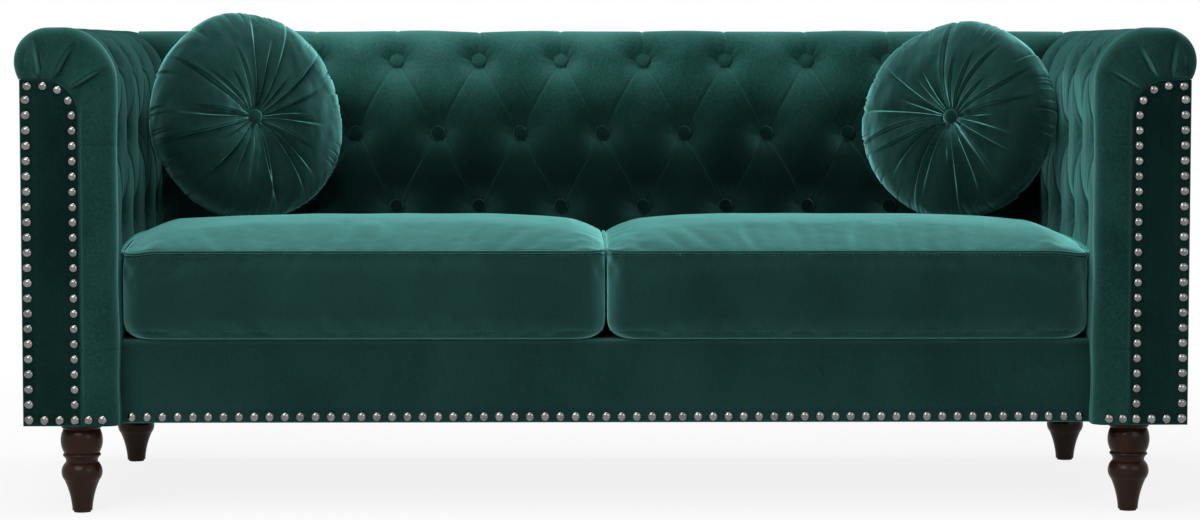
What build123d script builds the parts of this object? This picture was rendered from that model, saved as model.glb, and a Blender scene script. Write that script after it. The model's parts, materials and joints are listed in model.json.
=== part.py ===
"""Two-seat velvet sofa with rolled arms, a button-tufted back, nail trim and two round throw pillows.

Millimetres. +Z is up, the sofa faces -Y, and the origin is on the floor under its middle.
Left and right are as seen from in front of the sofa. The right-hand pieces are modelled, and mirrored
to the left.
"""

import math
import os

from build123d import *

# Overall sizes
SEAT_WIDTH = 1616.0  # clear width between the inner faces of the arms
ARM_WIDTH = 157.0  # inner face of an arm to its outside cover
OVERALL_DEPTH = 780.0  # nail domes in front to the outside back cover
TOP_HEIGHT = 808.0  # floor to the top of the arms and the back
LEG_HEIGHT = 150.0  # floor to the underside of the upholstery
DECK_HEIGHT = 290.0  # floor to the deck that carries the seat cushions

# Boards, skins and clearances
BOARD = 18.0  # arm boards
RAIL = 25.0  # seat and back rails
HARDBOARD = 4.0  # inside arm panel
CARD = 3.0  # outside arm panel
SKIN = 3.0  # velvet with its backing
WADDING = 10.0  # velvet with the fibre wadding under it
DUST_COVER = 2.0
SOFT_GAP = 0.3  # between soft pieces, and between a soft piece and what it lies against
DRILL_GAP = 0.1  # hole radius over the radius of the bolt in it

# Arms
INNER_PAD = 30.0  # wadding and foam on the inside face
SHOULDER_R = 87.0  # the round from the inside face to the top
ROLL_R = 57.0  # the round that overhangs the outside
ROLL_OVERHANG = 11.0
ROLL_DROP = 85.0  # from the top down to where the roll turns in to the outside cover
FRAME_DROP = 8.0  # top of the arm's frame below the end of the roll
FRONT_ROUND = 18.0  # rounding of the arm's front edge
FACING_WIDTH = 97.0
FACING_THICK = 12.0
FACING_CORNER_R = 57.0
BAND_DEPTH = 45.0  # how far the soft band beside the facing stands in front of the apron
SIDE_RAIL_RISE = 70.0  # top of the board inside the arm above the deck

# Seat base
APRON_PAD = 8.0
DECK_BUILD = 12.0  # springs, felt and cloth over the seat rails
STRETCHER_HEIGHT = 50.0
STRETCHER_X = 270.0
CORNER_BLOCK = 90.0
DECK_CLOTH = 2.0
SPRING_COUNT = 10
SPRING_PITCH = 150.0
SPRING_WIRE = 3.8
SPRING_BEND_R = 19.0
SPRING_RUN = 24.0  # straight run across the spring between two bends
CLIP_PLATE = 1.2
CLIP_WIDTH = 22.0
CLIP_LENGTH = 20.0

# Back
BACK_LEAN = 8.0  # degrees
BACK_PAD = 152.0  # front face of the back, at deck height, to the front of its frame
BACK_TOP_R = 60.0
BACK_REAR_R = 45.0
BACK_LAP = 52.0  # how far the top of the back laps over the shoulder of each arm
BACK_FRAME_DEPTH = 68.0  # front of the back's frame to the outside cover
BACK_LOWER_RAIL = 60.0
POST_WIDTH = 20.0
POST_INSET = 6.0  # outermost posts in from the arm's inner face
STRAP = 2.5
STRAP_WIDTH = 50.0
STRAP_COUNT = 4

# Tufting: rows of buttons, with every second row set over by half a pitch
ROW_DROP = 48.0  # top row of buttons below the top
ROW_PITCH = 135.0
ROW_COUNT = 3
BACK_TUFT_PITCH = 152.0
BACK_TUFTS = 10  # in the top row, with one fewer in the next
ARM_TUFT_PITCH = 145.0
ARM_TUFTS = 4
ARM_TUFT_FRONT = 120.0  # first button of the top row behind the arm's front
FUNNEL_R = 30.0
FUNNEL_DEPTH = 19.0
BUTTON_R = 13.0
BUTTON_HEIGHT = 8.0
BUTTON_EDGE = 3.0
PLEAT_WIDTH = 7.0
PLEAT_DEPTH = 5.0
TOP_PLEAT_WIDTH = 4.0

# Seat cushions
CUSHION_EDGE = 146.0  # height at the top seam
CUSHION_CROWN = 50.0
CUSHION_END_CROWN = 16.0
CUSHION_BULGE = 9.0
CUSHION_END_BULGE = 3.0
CUSHION_OVERHANG = 14.0  # in front of the apron
CUSHION_SIDE_GAP = 1.5
CUSHION_REAR_GAP = 15.0  # room for the zip
CUSHION_SHOULDER = 95.0  # from a cushion's inner end to where its crown is nearly full
CUSHION_OUTER_SHOULDER = 150.0  # the same beside the arm, where it rises more slowly
SHOULDER_CROWN = 41.0
CUSHION_CORNER_R = 16.0  # rounding of the lower ends
ZIP_LENGTH = 620.0
ZIP_TAPE = 1.2
ZIP_TAPE_WIDTH = 26.0
SLIDER_LENGTH = 14.0
SLIDER_WIDTH = 9.0
SLIDER_THICK = 4.0

# Round pillows
PILLOW_R = 183.0
PILLOW_CROWN = 62.0  # half thickness at the fullest ring
PILLOW_RIM = 44.0  # half thickness at the seam
PILLOW_SEAM_R = 162.0
PILLOW_CROWN_R = 84.0
PILLOW_TUFT = 34.0  # half thickness under the buttons
PILLOW_BUTTON_R = 13.0
PILLOW_PLEATS = 18
PILLOW_PLEAT_WIDTH = 4.5
PILLOW_PLEAT_DEPTH = 6.0
PILLOW_SIDE = 169.0  # pillow's middle in from the arm
PILLOW_FORE = 90.0  # pillow's middle in front of the foot of the back
PILLOW_TURN = 29.0  # degrees that each pillow faces in from the corner
PILLOW_LEAN = 12.0  # degrees

# Nail trim
NAIL_R = 8.0
NAIL_RISE = 5.0
NAIL_SHANK_R = 1.0
NAIL_SHANK = 16.0
NAIL_PITCH = 25.4
NAIL_EDGE = 11.0  # nail centre in from the edge of the facing or apron

# Legs and fasteners
LEG_SIDE_SETBACK = 88.0  # leg axis in from the outside of the arm
LEG_FRONT_SETBACK = 57.0
LEG_REAR_SETBACK = 67.0
LEG_COLLAR_R = 33.5
LEG_GROOVE_R = 30.5
LEG_NECK_R = 29.0
LEG_BULB_R = 35.0
LEG_RING_R = 31.5
LEG_WAIST_R = 26.5
LEG_SHOULDER_R = 34.0
LEG_CALF_R = 29.0
LEG_ANKLE_R = 20.6
LEG_FOOT_R = 16.6
GLIDE_THICK = 3.0
GLIDE_R = 14.0
BOLT_R = 4.0
HANGER_IN_LEG = 40.0
HANGER_IN_RAIL = 34.0
TNUT_FLANGE_R = 11.0
TNUT_FLANGE = 1.5
TNUT_BARREL_R = 5.5
TNUT_BARREL = 10.0
BOLT_HEAD_R = 7.5
BOLT_HEAD = 5.5
BOLT_GRIP = 55.0  # length of a frame bolt in the rail

# Places that follow from the sizes above
ARM_IN = SEAT_WIDTH / 2
ARM_OUT = ARM_IN + ARM_WIDTH
FRONT = NAIL_RISE - OVERALL_DEPTH / 2
REAR = OVERALL_DEPTH / 2
FRAME_FRONT = FRONT + FACING_THICK
FRAME_REAR = REAR - SKIN
FRAME_IN = ARM_IN + INNER_PAD
FRAME_OUT = ARM_OUT - SKIN
FRAME_BOTTOM = LEG_HEIGHT + DUST_COVER
ROLL_END_Z = TOP_HEIGHT - ROLL_DROP
ARM_FRAME_TOP = ROLL_END_Z - FRAME_DROP
SIDE_RAIL_TOP = DECK_HEIGHT + SIDE_RAIL_RISE
FACING_IN = ARM_OUT - FACING_WIDTH
APRON_FRONT = FRONT + BAND_DEPTH
RAIL_FRONT = APRON_FRONT + APRON_PAD
RAIL_TOP = DECK_HEIGHT - DECK_BUILD
BOLT_Z = (FRAME_BOTTOM + RAIL_TOP) / 2
BACK_FRAME_Y = REAR - BACK_FRAME_DEPTH
BACK_FACE_Y = BACK_FRAME_Y - BACK_PAD
PAD_REAR = BACK_FRAME_Y - STRAP
SHOULDER_X = ARM_IN + SHOULDER_R
SHOULDER_Z = TOP_HEIGHT - SHOULDER_R
ROLL_X = ARM_OUT + ROLL_OVERHANG - ROLL_R
ROLL_Z = TOP_HEIGHT - ROLL_R
ROW_TOP = TOP_HEIGHT - ROW_DROP
LEAN = math.radians(BACK_LEAN)
BACK_ARC_Z = TOP_HEIGHT - BACK_TOP_R
BACK_ARC_Y = (
    BACK_FACE_Y
    + (BACK_ARC_Z + BACK_TOP_R * math.sin(LEAN) - DECK_HEIGHT) * math.tan(LEAN)
    + BACK_TOP_R * math.cos(LEAN)
)
LEG_X = ARM_OUT - LEG_SIDE_SETBACK
LEG_PLACES = [(LEG_X, FRONT + LEG_FRONT_SETBACK), (LEG_X, REAR - LEG_REAR_SETBACK)]
CUSHION_FRONT = APRON_FRONT - CUSHION_OVERHANG
CUSHION_REAR = BACK_FACE_Y - CUSHION_REAR_GAP
CUSHION_BOTTOM = DECK_HEIGHT + SOFT_GAP
PILLOW_X = ARM_IN - PILLOW_SIDE
PILLOW_Y = BACK_FACE_Y - PILLOW_FORE
NAIL_ROW_Z = LEG_HEIGHT + NAIL_EDGE


def block(x_span, y_span, z_span):
    """A box between two x, two y and two z places."""
    sizes = [high - low for low, high in (x_span, y_span, z_span)]
    middle = [(low + high) / 2 for low, high in (x_span, y_span, z_span)]
    return Pos(*middle) * Box(*sizes)


def across(points_and_arcs, y_span):
    """A prism along Y from an outline of (x, z) corners and arcs."""
    return outline_prism(points_and_arcs, lambda x, z, y: (x, y, z), y_span, (0, 1, 0))


def along(points_and_arcs, x_span):
    """A prism along X from an outline of (y, z) corners and arcs."""
    return outline_prism(points_and_arcs, lambda y, z, x: (x, y, z), x_span, (1, 0, 0))


def outline_prism(points_and_arcs, place, span, direction):
    """Extrudes a closed outline from one end of a span to the other."""
    face = outline_face(points_and_arcs, lambda a, b: place(a, b, span[0]))
    return extrude(face, span[1] - span[0], dir=direction)


def outline_face(points_and_arcs, place):
    """A closed outline as a face. An entry ("arc", a, b) is the middle of the arc between its neighbours."""
    edges = []
    start = points_and_arcs[0]
    middle = None
    for entry in points_and_arcs[1:] + points_and_arcs[:1]:
        if entry[0] == "arc":
            middle = entry[1:]
            continue
        if middle is None:
            edges.append(Line(place(*start), place(*entry)))
        else:
            edges.append(ThreePointArc(place(*start), place(*middle), place(*entry)))
        start = entry
        middle = None
    return Face(Wire(edges))


def on_circle(centre, radius, degrees):
    """The point of a circle at an angle, in the plane of its two coordinates."""
    turn = math.radians(degrees)
    return (centre[0] + radius * math.cos(turn), centre[1] + radius * math.sin(turn))


def both_sides(part):
    """A right-hand piece and its mirror image as one group of separate solids."""
    return Compound([*part.solids(), *mirror(part, about=Plane.YZ).solids()])


def group(parts):
    """Several solids as one node."""
    return Compound([solid for part in parts for solid in part.solids()])


# Arm outlines


def arm_outline(inset):
    """The arm from its inside face over the top to the end of the roll, as (x, z) corners and arcs."""
    roll_r = ROLL_R - inset
    roll_end = -math.degrees(math.asin((ROLL_Z - ROLL_END_Z) / roll_r))
    shoulder = (SHOULDER_X, SHOULDER_Z)
    roll = (ROLL_X, ROLL_Z)
    return [
        (ARM_IN + inset, SHOULDER_Z),
        ("arc", *on_circle(shoulder, SHOULDER_R - inset, 135)),
        (SHOULDER_X, TOP_HEIGHT - inset),
        (ROLL_X, TOP_HEIGHT - inset),
        ("arc", *on_circle(roll, roll_r, (90 + roll_end) / 2)),
        on_circle(roll, roll_r, roll_end),
    ]


def arm_body(inset, floor_z, y_span):
    """The soft arm over its frame: the inside slab from floor_z up, and the roll on the frame's top."""
    under = [*roll_foot(inset), (FRAME_IN, ARM_FRAME_TOP), (FRAME_IN, floor_z)]
    return across([(ARM_IN + inset, floor_z), *arm_outline(inset), *under], y_span)


def roll_foot(inset):
    """(x, z) corners from the end of the roll in to the outer edge of the frame's top."""
    roll_end_x = arm_outline(inset)[-1][0]
    if roll_end_x <= FRAME_OUT:
        return [(roll_end_x, ARM_FRAME_TOP)]
    return [(FRAME_OUT, ROLL_END_Z), (FRAME_OUT, ARM_FRAME_TOP)]


def arm_roll_rear(inset):
    """The roll behind the inside slab, above the back frame."""
    outline = [(ARM_IN + inset, ARM_FRAME_TOP), *arm_outline(inset), *roll_foot(inset)]
    roll = across(outline, (PAD_REAR, REAR))
    return roll - block((ARM_IN - 1, ARM_OUT), (FRAME_REAR, REAR), (0, ROLL_END_Z))


def facing_outline(edge):
    """The facing, moved in by edge: (x, z) corners and an arc, from its inner foot round to its outer."""
    corner_r = FACING_CORNER_R - edge
    corner = (FACING_IN + FACING_CORNER_R, ROLL_END_Z - FACING_CORNER_R)
    return [
        (FACING_IN + edge, LEG_HEIGHT + edge),
        (FACING_IN + edge, corner[1]),
        ("arc", *on_circle(corner, corner_r, 135)),
        (corner[0], ROLL_END_Z - edge),
        (ARM_OUT - edge, ROLL_END_Z - edge),
        (ARM_OUT - edge, LEG_HEIGHT + edge),
    ]


def tuft_rows(first, pitch, count):
    """(row, places along it) from the top row down, every second row half a pitch over and one shorter."""
    rows = []
    for row in range(ROW_COUNT):
        short = row % 2
        rows.append((row, [first + pitch * (short / 2 + i) for i in range(count - short)]))
    return rows


def arm_surface(y, z, inset=0.0):
    """A plane on the arm's inside face, facing out of it."""
    rise = max(0.0, min(1.0, (z - SHOULDER_Z) / (SHOULDER_R - inset)))
    turn = math.asin(rise)
    if z <= SHOULDER_Z:
        point = (ARM_IN + inset, y, z)
    else:
        point = (SHOULDER_X - (SHOULDER_R - inset) * math.cos(turn), y, z)
    return Plane(origin=point, x_dir=(0, 1, 0), z_dir=(-math.cos(turn), 0, math.sin(turn)))


def back_surface(x, z, inset=0.0):
    """A plane on the front of the back, facing out of it."""
    radius = BACK_TOP_R - inset
    turn = LEAN
    if z > BACK_ARC_Z + radius * math.sin(LEAN):
        turn = math.asin(min(1.0, (z - BACK_ARC_Z) / radius))
        y = BACK_ARC_Y - radius * math.cos(turn)
    else:
        y = BACK_FACE_Y + inset / math.cos(LEAN) + (z - DECK_HEIGHT) * math.tan(LEAN)
    return Plane(origin=(x, y, z), x_dir=(1, 0, 0), z_dir=(0, -math.cos(turn), math.sin(turn)))


def row_height(row):
    return ROW_TOP - row * ROW_PITCH


def arm_tufts():
    first = FRONT + ARM_TUFT_FRONT
    return [
        [arm_surface(y, row_height(row)) for y in places]
        for row, places in tuft_rows(first, ARM_TUFT_PITCH, ARM_TUFTS)
    ]


def back_tufts():
    first = -BACK_TUFT_PITCH * (BACK_TUFTS - 1) / 2
    return [
        [back_surface(x, row_height(row)) for x in places]
        for row, places in tuft_rows(first, BACK_TUFT_PITCH, BACK_TUFTS)
    ]


# Tufting tools


def funnel(surface):
    """The hollow that a button pulls into the upholstery, open past the surface."""
    floor_r = BUTTON_R + 1
    slope = (FUNNEL_R - floor_r) / FUNNEL_DEPTH
    past = FUNNEL_DEPTH / 2
    height = FUNNEL_DEPTH + past
    cone = Cone(floor_r, FUNNEL_R + slope * past, height)
    return surface * Pos(0, 0, height / 2 - FUNNEL_DEPTH) * cone


def button(surface, radius=BUTTON_R, depth=FUNNEL_DEPTH):
    """A covered button with a rounded edge, seated on the floor of its hollow."""
    disc = Cylinder(radius, BUTTON_HEIGHT)
    disc = fillet(disc.edges().group_by(Axis.Z)[-1], BUTTON_EDGE)
    return surface * Pos(0, 0, BUTTON_HEIGHT / 2 - depth) * disc


def pleat(start, end, facing):
    """A V-shaped pleat between two buttons, from inside one hollow to inside the other."""
    direction = (end - start).normalized()
    inside = (BUTTON_R + FUNNEL_R) / 2
    section = Plane(origin=start + direction * inside, x_dir=direction.cross(facing), z_dir=direction)
    corners = [(-PLEAT_WIDTH, PLEAT_DEPTH), (PLEAT_WIDTH, PLEAT_DEPTH), (0, -PLEAT_DEPTH)]
    return extrude(section * make_face(Polyline(*corners, close=True)), (end - start).length - 2 * inside)


def diamond_pleats(rows):
    """Pleats from each button of a row to its two neighbours in the next row."""
    pleats = []
    for upper, lower in zip(rows, rows[1:]):
        short, long = sorted((upper, lower), key=len)
        for i, plane in enumerate(short):
            for other in long[i : i + 2]:
                pleats.append(pleat(plane.origin, other.origin, plane.z_dir))
    return pleats


# Arms


def arm_top_pleats():
    """Slots from the top row of buttons over the roll to its outer end."""
    span = (0, TOP_PLEAT_WIDTH)
    shell = arm_body(0, DECK_HEIGHT, span) - arm_body(PLEAT_DEPTH, DECK_HEIGHT, span)
    span_x = (ARM_IN - 1, ARM_OUT + ROLL_OVERHANG + 1)
    slot = shell & block(span_x, (-1, TOP_PLEAT_WIDTH + 1), (ROW_TOP, TOP_HEIGHT + 1))
    return [Pos(0, plane.origin.Y - TOP_PLEAT_WIDTH / 2, 0) * slot for plane in arm_tufts()[0]]


def arm_cover():
    """Velvet and wadding: band and roll cap round the facing, inside face and roll, with tufts and pleats."""
    foot = [(ROLL_X, ROLL_END_Z), (ROLL_X, LEG_HEIGHT)]
    front = across([(ARM_IN, LEG_HEIGHT), *arm_outline(0), *foot], (FRONT, APRON_FRONT))
    front = fillet([e for e in front.edges() if on_front_round(e)], FRONT_ROUND)
    inside = arm_body(0, DECK_HEIGHT, (APRON_FRONT, PAD_REAR))
    frame = block((FRAME_IN, ARM_OUT), (FRAME_FRONT, APRON_FRONT), (0, ARM_FRAME_TOP))
    facing = across(facing_outline(0), (FRONT, FRAME_FRONT))
    solid = front + inside + arm_roll_rear(0)
    hollows = [funnel(p) for row in arm_tufts() for p in row]
    pleats = diamond_pleats(arm_tufts()) + arm_top_pleats()
    return solid - [frame, facing, arm_core(WADDING), *hollows, *pleats]


def on_front_round(edge):
    """True for the front edges of the inside face, the shoulder, the top and the roll."""
    middle = edge @ 0.5
    at_foot = middle.Z < LEG_HEIGHT + 1 or (middle.X > SHOULDER_X and middle.Z < ROLL_END_Z + 1)
    return abs(middle.Y - FRONT) < 0.01 and not at_foot


def arm_core(inset):
    """The foam's space under the cover."""
    inside = arm_body(inset, DECK_HEIGHT, (FRAME_FRONT, PAD_REAR))
    return inside + arm_roll_rear(inset)


def arm_foam():
    """Foam inside the cover, with the hollows that the buttons pull into it."""
    foam = arm_core(WADDING + SOFT_GAP)
    return foam - [funnel(p) for row in arm_tufts() for p in row]


def arm_facing():
    """Covered panel on the front of the arm."""
    return across(facing_outline(SOFT_GAP), (FRONT, FRAME_FRONT))


def arm_end_board(front_y):
    return block((FRAME_IN, FRAME_OUT), (front_y, front_y + BOARD), (FRAME_BOTTOM, ARM_FRAME_TOP))


ARM_SPAN_Y = (FRAME_FRONT + BOARD, FRAME_REAR - BOARD)


def arm_top_board():
    return block((FRAME_IN, FRAME_OUT), ARM_SPAN_Y, (ARM_FRAME_TOP - BOARD, ARM_FRAME_TOP))


def arm_bottom_rail():
    """Rail that takes the legs, drilled for the hanger bolts and their nuts."""
    rail = block((FRAME_IN, FRAME_OUT), ARM_SPAN_Y, (FRAME_BOTTOM, FRAME_BOTTOM + RAIL))
    drill = Cylinder(TNUT_BARREL_R + DRILL_GAP, 2 * RAIL + TOP_HEIGHT)
    return rail - [Pos(x, y, 0) * drill for x, y in LEG_PLACES]


def frame_bolt_places():
    """(y, z) of the bolts that hold the arms to the seat rails and the lower back rail."""
    front_rail = RAIL_FRONT + RAIL / 2
    back_rail = BACK_FRAME_Y + RAIL / 2
    return [(front_rail, BOLT_Z), (back_rail, BOLT_Z), (back_rail, DECK_HEIGHT + BACK_LOWER_RAIL / 2)]


def bolt_drills():
    """Cutters for the frame bolts, from the arm's inside into the rails."""
    length = BOARD + BOLT_GRIP
    drill = Rot(0, 90, 0) * Cylinder(BOLT_R + DRILL_GAP, length)
    middle = FRAME_IN + BOARD - length / 2
    return [Pos(middle, y, z) * drill for y, z in frame_bolt_places()]


def arm_side_rail():
    """Board inside the arm that the seat and back rails bolt to."""
    rail = block((FRAME_IN, FRAME_IN + BOARD), ARM_SPAN_Y, (FRAME_BOTTOM + RAIL, SIDE_RAIL_TOP))
    return rail - bolt_drills()


def arm_inner_panel():
    return block((FRAME_IN, FRAME_IN + HARDBOARD), ARM_SPAN_Y, (SIDE_RAIL_TOP, ARM_FRAME_TOP - BOARD))


def arm_outer_panel():
    span_z = (FRAME_BOTTOM + RAIL, ARM_FRAME_TOP - BOARD)
    return block((FRAME_OUT - CARD, FRAME_OUT), ARM_SPAN_Y, span_z)


def arm_outside_cover():
    return block((FRAME_OUT, ARM_OUT), (FRAME_FRONT, FRAME_REAR), (LEG_HEIGHT, ROLL_END_Z))


def arm_buttons():
    return group([button(p) for row in arm_tufts() for p in row])


# Back


def back_body(inset, x_span):
    """The back's upholstery over its frame."""
    front_y = BACK_FACE_Y + inset / math.cos(LEAN)
    front_arc = (BACK_ARC_Y, BACK_ARC_Z)
    rear_arc = (REAR - BACK_REAR_R, TOP_HEIGHT - BACK_REAR_R)
    front_r = BACK_TOP_R - inset
    rear_r = BACK_REAR_R - inset
    return along(
        [
            (front_y, DECK_HEIGHT),
            on_circle(front_arc, front_r, 180 - BACK_LEAN),
            ("arc", *on_circle(front_arc, front_r, 135 - BACK_LEAN / 2)),
            (BACK_ARC_Y, TOP_HEIGHT - inset),
            (rear_arc[0], TOP_HEIGHT - inset),
            ("arc", *on_circle(rear_arc, rear_r, 45)),
            (REAR - inset, rear_arc[1]),
            (REAR - inset, ROLL_END_Z),
            (PAD_REAR, ROLL_END_Z),
            (PAD_REAR, DECK_HEIGHT),
        ],
        x_span,
    )


def back_blank(inset):
    """The back's upholstery between the arms, lapping over their shoulders."""
    end = ARM_IN + BACK_LAP
    inner, arc, top = arm_outline(-SOFT_GAP)[:3]
    past = SHOULDER_X + SHOULDER_R
    arm = across([(inner[0], 0), inner, arc, top, (past, top[1]), (past, 0)], (FRONT, REAR + 1))
    return back_body(inset, (-end, end)) - both_sides(arm).solids()


def seat_span(gap):
    return (-ARM_IN + gap, ARM_IN - gap)


def back_top_pleats():
    """Slots from the top row of buttons straight up over the back."""
    span = (0, TOP_PLEAT_WIDTH)
    shell = back_body(0, span) - back_body(PLEAT_DEPTH, span)
    slot = shell & block((-1, TOP_PLEAT_WIDTH + 1), (BACK_FACE_Y, REAR + 1), (ROW_TOP, TOP_HEIGHT + 1))
    return [Pos(plane.origin.X - TOP_PLEAT_WIDTH / 2, 0, 0) * slot for plane in back_tufts()[0]]


def back_cover():
    """Velvet and wadding over the back, with tufts and pleats."""
    past = ARM_IN + BACK_LAP + 1
    shell = back_blank(0) - back_body(WADDING, (-past, past))
    hollows = [funnel(p) for row in back_tufts() for p in row]
    return shell - (hollows + diamond_pleats(back_tufts()) + back_top_pleats())


def back_foam():
    return back_blank(WADDING + SOFT_GAP) - [funnel(p) for row in back_tufts() for p in row]


def back_buttons():
    return group([button(p) for row in back_tufts() for p in row])


def back_lower_rail():
    span_z = (DECK_HEIGHT, DECK_HEIGHT + BACK_LOWER_RAIL)
    rail = block((-FRAME_IN, FRAME_IN), (BACK_FRAME_Y, BACK_FRAME_Y + RAIL), span_z)
    drills = group(bolt_drills())
    return rail - both_sides(drills).solids()


def back_top_rail():
    edge = ARM_IN - POST_INSET
    return block((-edge, edge), (BACK_FRAME_Y, FRAME_REAR), (ROLL_END_Z - RAIL, ROLL_END_Z))


def back_posts():
    """Uprights between the two back rails: one near each arm and two between them."""
    outer = ARM_IN - POST_INSET - POST_WIDTH / 2
    inner = outer / 3
    span_z = (DECK_HEIGHT + BACK_LOWER_RAIL, ROLL_END_Z - RAIL)
    posts = [
        block((x - POST_WIDTH / 2, x + POST_WIDTH / 2), (BACK_FRAME_Y, FRAME_REAR), span_z)
        for x in (-outer, -inner, inner, outer)
    ]
    return group(posts)


def back_webbing():
    """Elastic straps stretched across the front of the posts."""
    edge = ARM_IN - POST_INSET
    low = DECK_HEIGHT + BACK_LOWER_RAIL
    pitch = (ROLL_END_Z - RAIL - low) / STRAP_COUNT
    straps = []
    for i in range(STRAP_COUNT):
        middle = low + pitch * (i + 0.5)
        span_z = (middle - STRAP_WIDTH / 2, middle + STRAP_WIDTH / 2)
        straps.append(block((-edge, edge), (PAD_REAR, BACK_FRAME_Y), span_z))
    return group(straps)


def outside_back_cover():
    return block((-ARM_OUT, ARM_OUT), (FRAME_REAR, REAR), (LEG_HEIGHT, ROLL_END_Z - SOFT_GAP))


# Seat base


def seat_rail(front_y):
    """A rail between the arms, drilled at its ends for the frame bolts."""
    rail = block((-FRAME_IN, FRAME_IN), (front_y, front_y + RAIL), (FRAME_BOTTOM, RAIL_TOP))
    return rail - both_sides(group(bolt_drills())).solids()


def seat_stretchers():
    span_y = (RAIL_FRONT + RAIL, BACK_FRAME_Y)
    bars = [
        block((x - RAIL / 2, x + RAIL / 2), span_y, (FRAME_BOTTOM, FRAME_BOTTOM + STRETCHER_HEIGHT))
        for x in (-STRETCHER_X, STRETCHER_X)
    ]
    return group(bars)


def corner_blocks():
    """Glued triangles in the four corners of the seat frame."""
    blocks = []
    for y, inward in ((RAIL_FRONT + RAIL, 1), (BACK_FRAME_Y, -1)):
        corners = [(FRAME_IN, y), (FRAME_IN - CORNER_BLOCK, y), (FRAME_IN, y + inward * CORNER_BLOCK)]
        face = make_face(Polyline(*corners, close=True))
        tall = Pos(0, 0, FRAME_BOTTOM) * extrude(face, RAIL, dir=(0, 0, 1))
        blocks.append(both_sides(tall))
    return group(blocks)


SPRING_Z = RAIL_TOP + CLIP_PLATE + DRILL_GAP + SPRING_WIRE / 2
CLIP_TOP = SPRING_Z + SPRING_WIRE / 2 + DRILL_GAP + CLIP_PLATE


def seat_spring():
    """One zigzag spring of half-round bends and straight runs, from the front rail to the back rail."""
    first = RAIL_FRONT + RAIL / 2
    last = BACK_FRAME_Y + RAIL / 2
    bends = int((last - first) / (2 * SPRING_BEND_R))
    radius = (last - first) / bends / 2
    half = SPRING_RUN / 2
    edges = []
    side = 1
    y = first
    start = (-side * half, y, SPRING_Z)
    for i in range(bends):
        end = (side * half, y, SPRING_Z)
        turned = (side * half, y + 2 * radius, SPRING_Z)
        edges.append(Line(start, end))
        edges.append(ThreePointArc(end, (side * (half + radius), y + radius, SPRING_Z), turned))
        start = turned
        y += 2 * radius
        side = -side
    edges.append(Line(start, (side * half, y, SPRING_Z)))
    path = Wire(edges)
    section = Plane(origin=path @ 0, z_dir=path % 0) * Circle(SPRING_WIRE / 2)
    return sweep(section, path)


def spring_places():
    return [(i - (SPRING_COUNT - 1) / 2) * SPRING_PITCH for i in range(SPRING_COUNT)]


def seat_springs():
    spring = seat_spring()
    return group([Pos(x, 0, 0) * spring for x in spring_places()])


def spring_clips():
    """Steel clips on the rails, each folded over the end run of a spring."""
    clips = []
    for y, outward in ((RAIL_FRONT + RAIL / 2, -1), (BACK_FRAME_Y + RAIL / 2, 1)):
        inner = y - outward * CLIP_LENGTH / 2
        outer = y + outward * CLIP_LENGTH / 2
        web = outer - outward * CLIP_PLATE
        span = sorted((inner, outer))
        for x in spring_places():
            width = (x - CLIP_WIDTH / 2, x + CLIP_WIDTH / 2)
            base = block(width, span, (RAIL_TOP, RAIL_TOP + CLIP_PLATE))
            top = block(width, span, (CLIP_TOP - CLIP_PLATE, CLIP_TOP))
            back = block(width, sorted((web, outer)), (RAIL_TOP, CLIP_TOP))
            clips.append(base + top + back)
    return group(clips)


def deck_pad():
    """Felt over the springs, under the deck cloth."""
    span_y = (RAIL_FRONT, PAD_REAR)
    return block(seat_span(SOFT_GAP), span_y, (CLIP_TOP, DECK_HEIGHT - DECK_CLOTH))


def deck_cloth():
    span_y = (RAIL_FRONT, PAD_REAR)
    return block(seat_span(SOFT_GAP), span_y, (DECK_HEIGHT - DECK_CLOTH, DECK_HEIGHT))


def apron_cover():
    """Padded velvet front of the seat base, between the arms' bands."""
    span_z = (LEG_HEIGHT, DECK_HEIGHT - SOFT_GAP)
    return block((-FRAME_IN, FRAME_IN), (APRON_FRONT, RAIL_FRONT), span_z)


def dust_cover():
    """Cloth under the whole base, pierced by the hanger bolts."""
    span_z = (LEG_HEIGHT, FRAME_BOTTOM)
    middle = block((-FRAME_IN, FRAME_IN), (RAIL_FRONT, FRAME_REAR), span_z)
    side = block((FRAME_IN, FRAME_OUT), (FRAME_FRONT, FRAME_REAR), span_z)
    drill = Cylinder(BOLT_R + DRILL_GAP, 2 * TOP_HEIGHT)
    side = side - [Pos(x, y, 0) * drill for x, y in LEG_PLACES]
    return middle + side + mirror(side, about=Plane.YZ)


# Nails


def nail():
    """Domed nail with its shank, its seat on the XY plane and its dome up."""
    bow = on_circle((0, 0), 1, 45)
    outline = [
        (0, NAIL_RISE),
        ("arc", NAIL_R * bow[0], NAIL_RISE * bow[1]),
        (NAIL_R, 0),
        (NAIL_SHANK_R, 0),
        (NAIL_SHANK_R, -NAIL_SHANK),
        (0, -NAIL_SHANK),
    ]
    return turned(outline)


def turned(points_and_arcs):
    """A solid of revolution about the Z axis from an outline of (radius, z) corners and arcs."""
    return revolve(outline_face(points_and_arcs, lambda r, z: (r, 0, z)), Axis.Z)


def evenly(length, pitch):
    """How many equal steps near the pitch fit in a length."""
    return max(1, round(length / pitch))


def nail_at(x, y, z):
    """A nail driven in from the front."""
    return Plane(origin=(x, y, z), z_dir=(0, -1, 0)) * nail()


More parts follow.
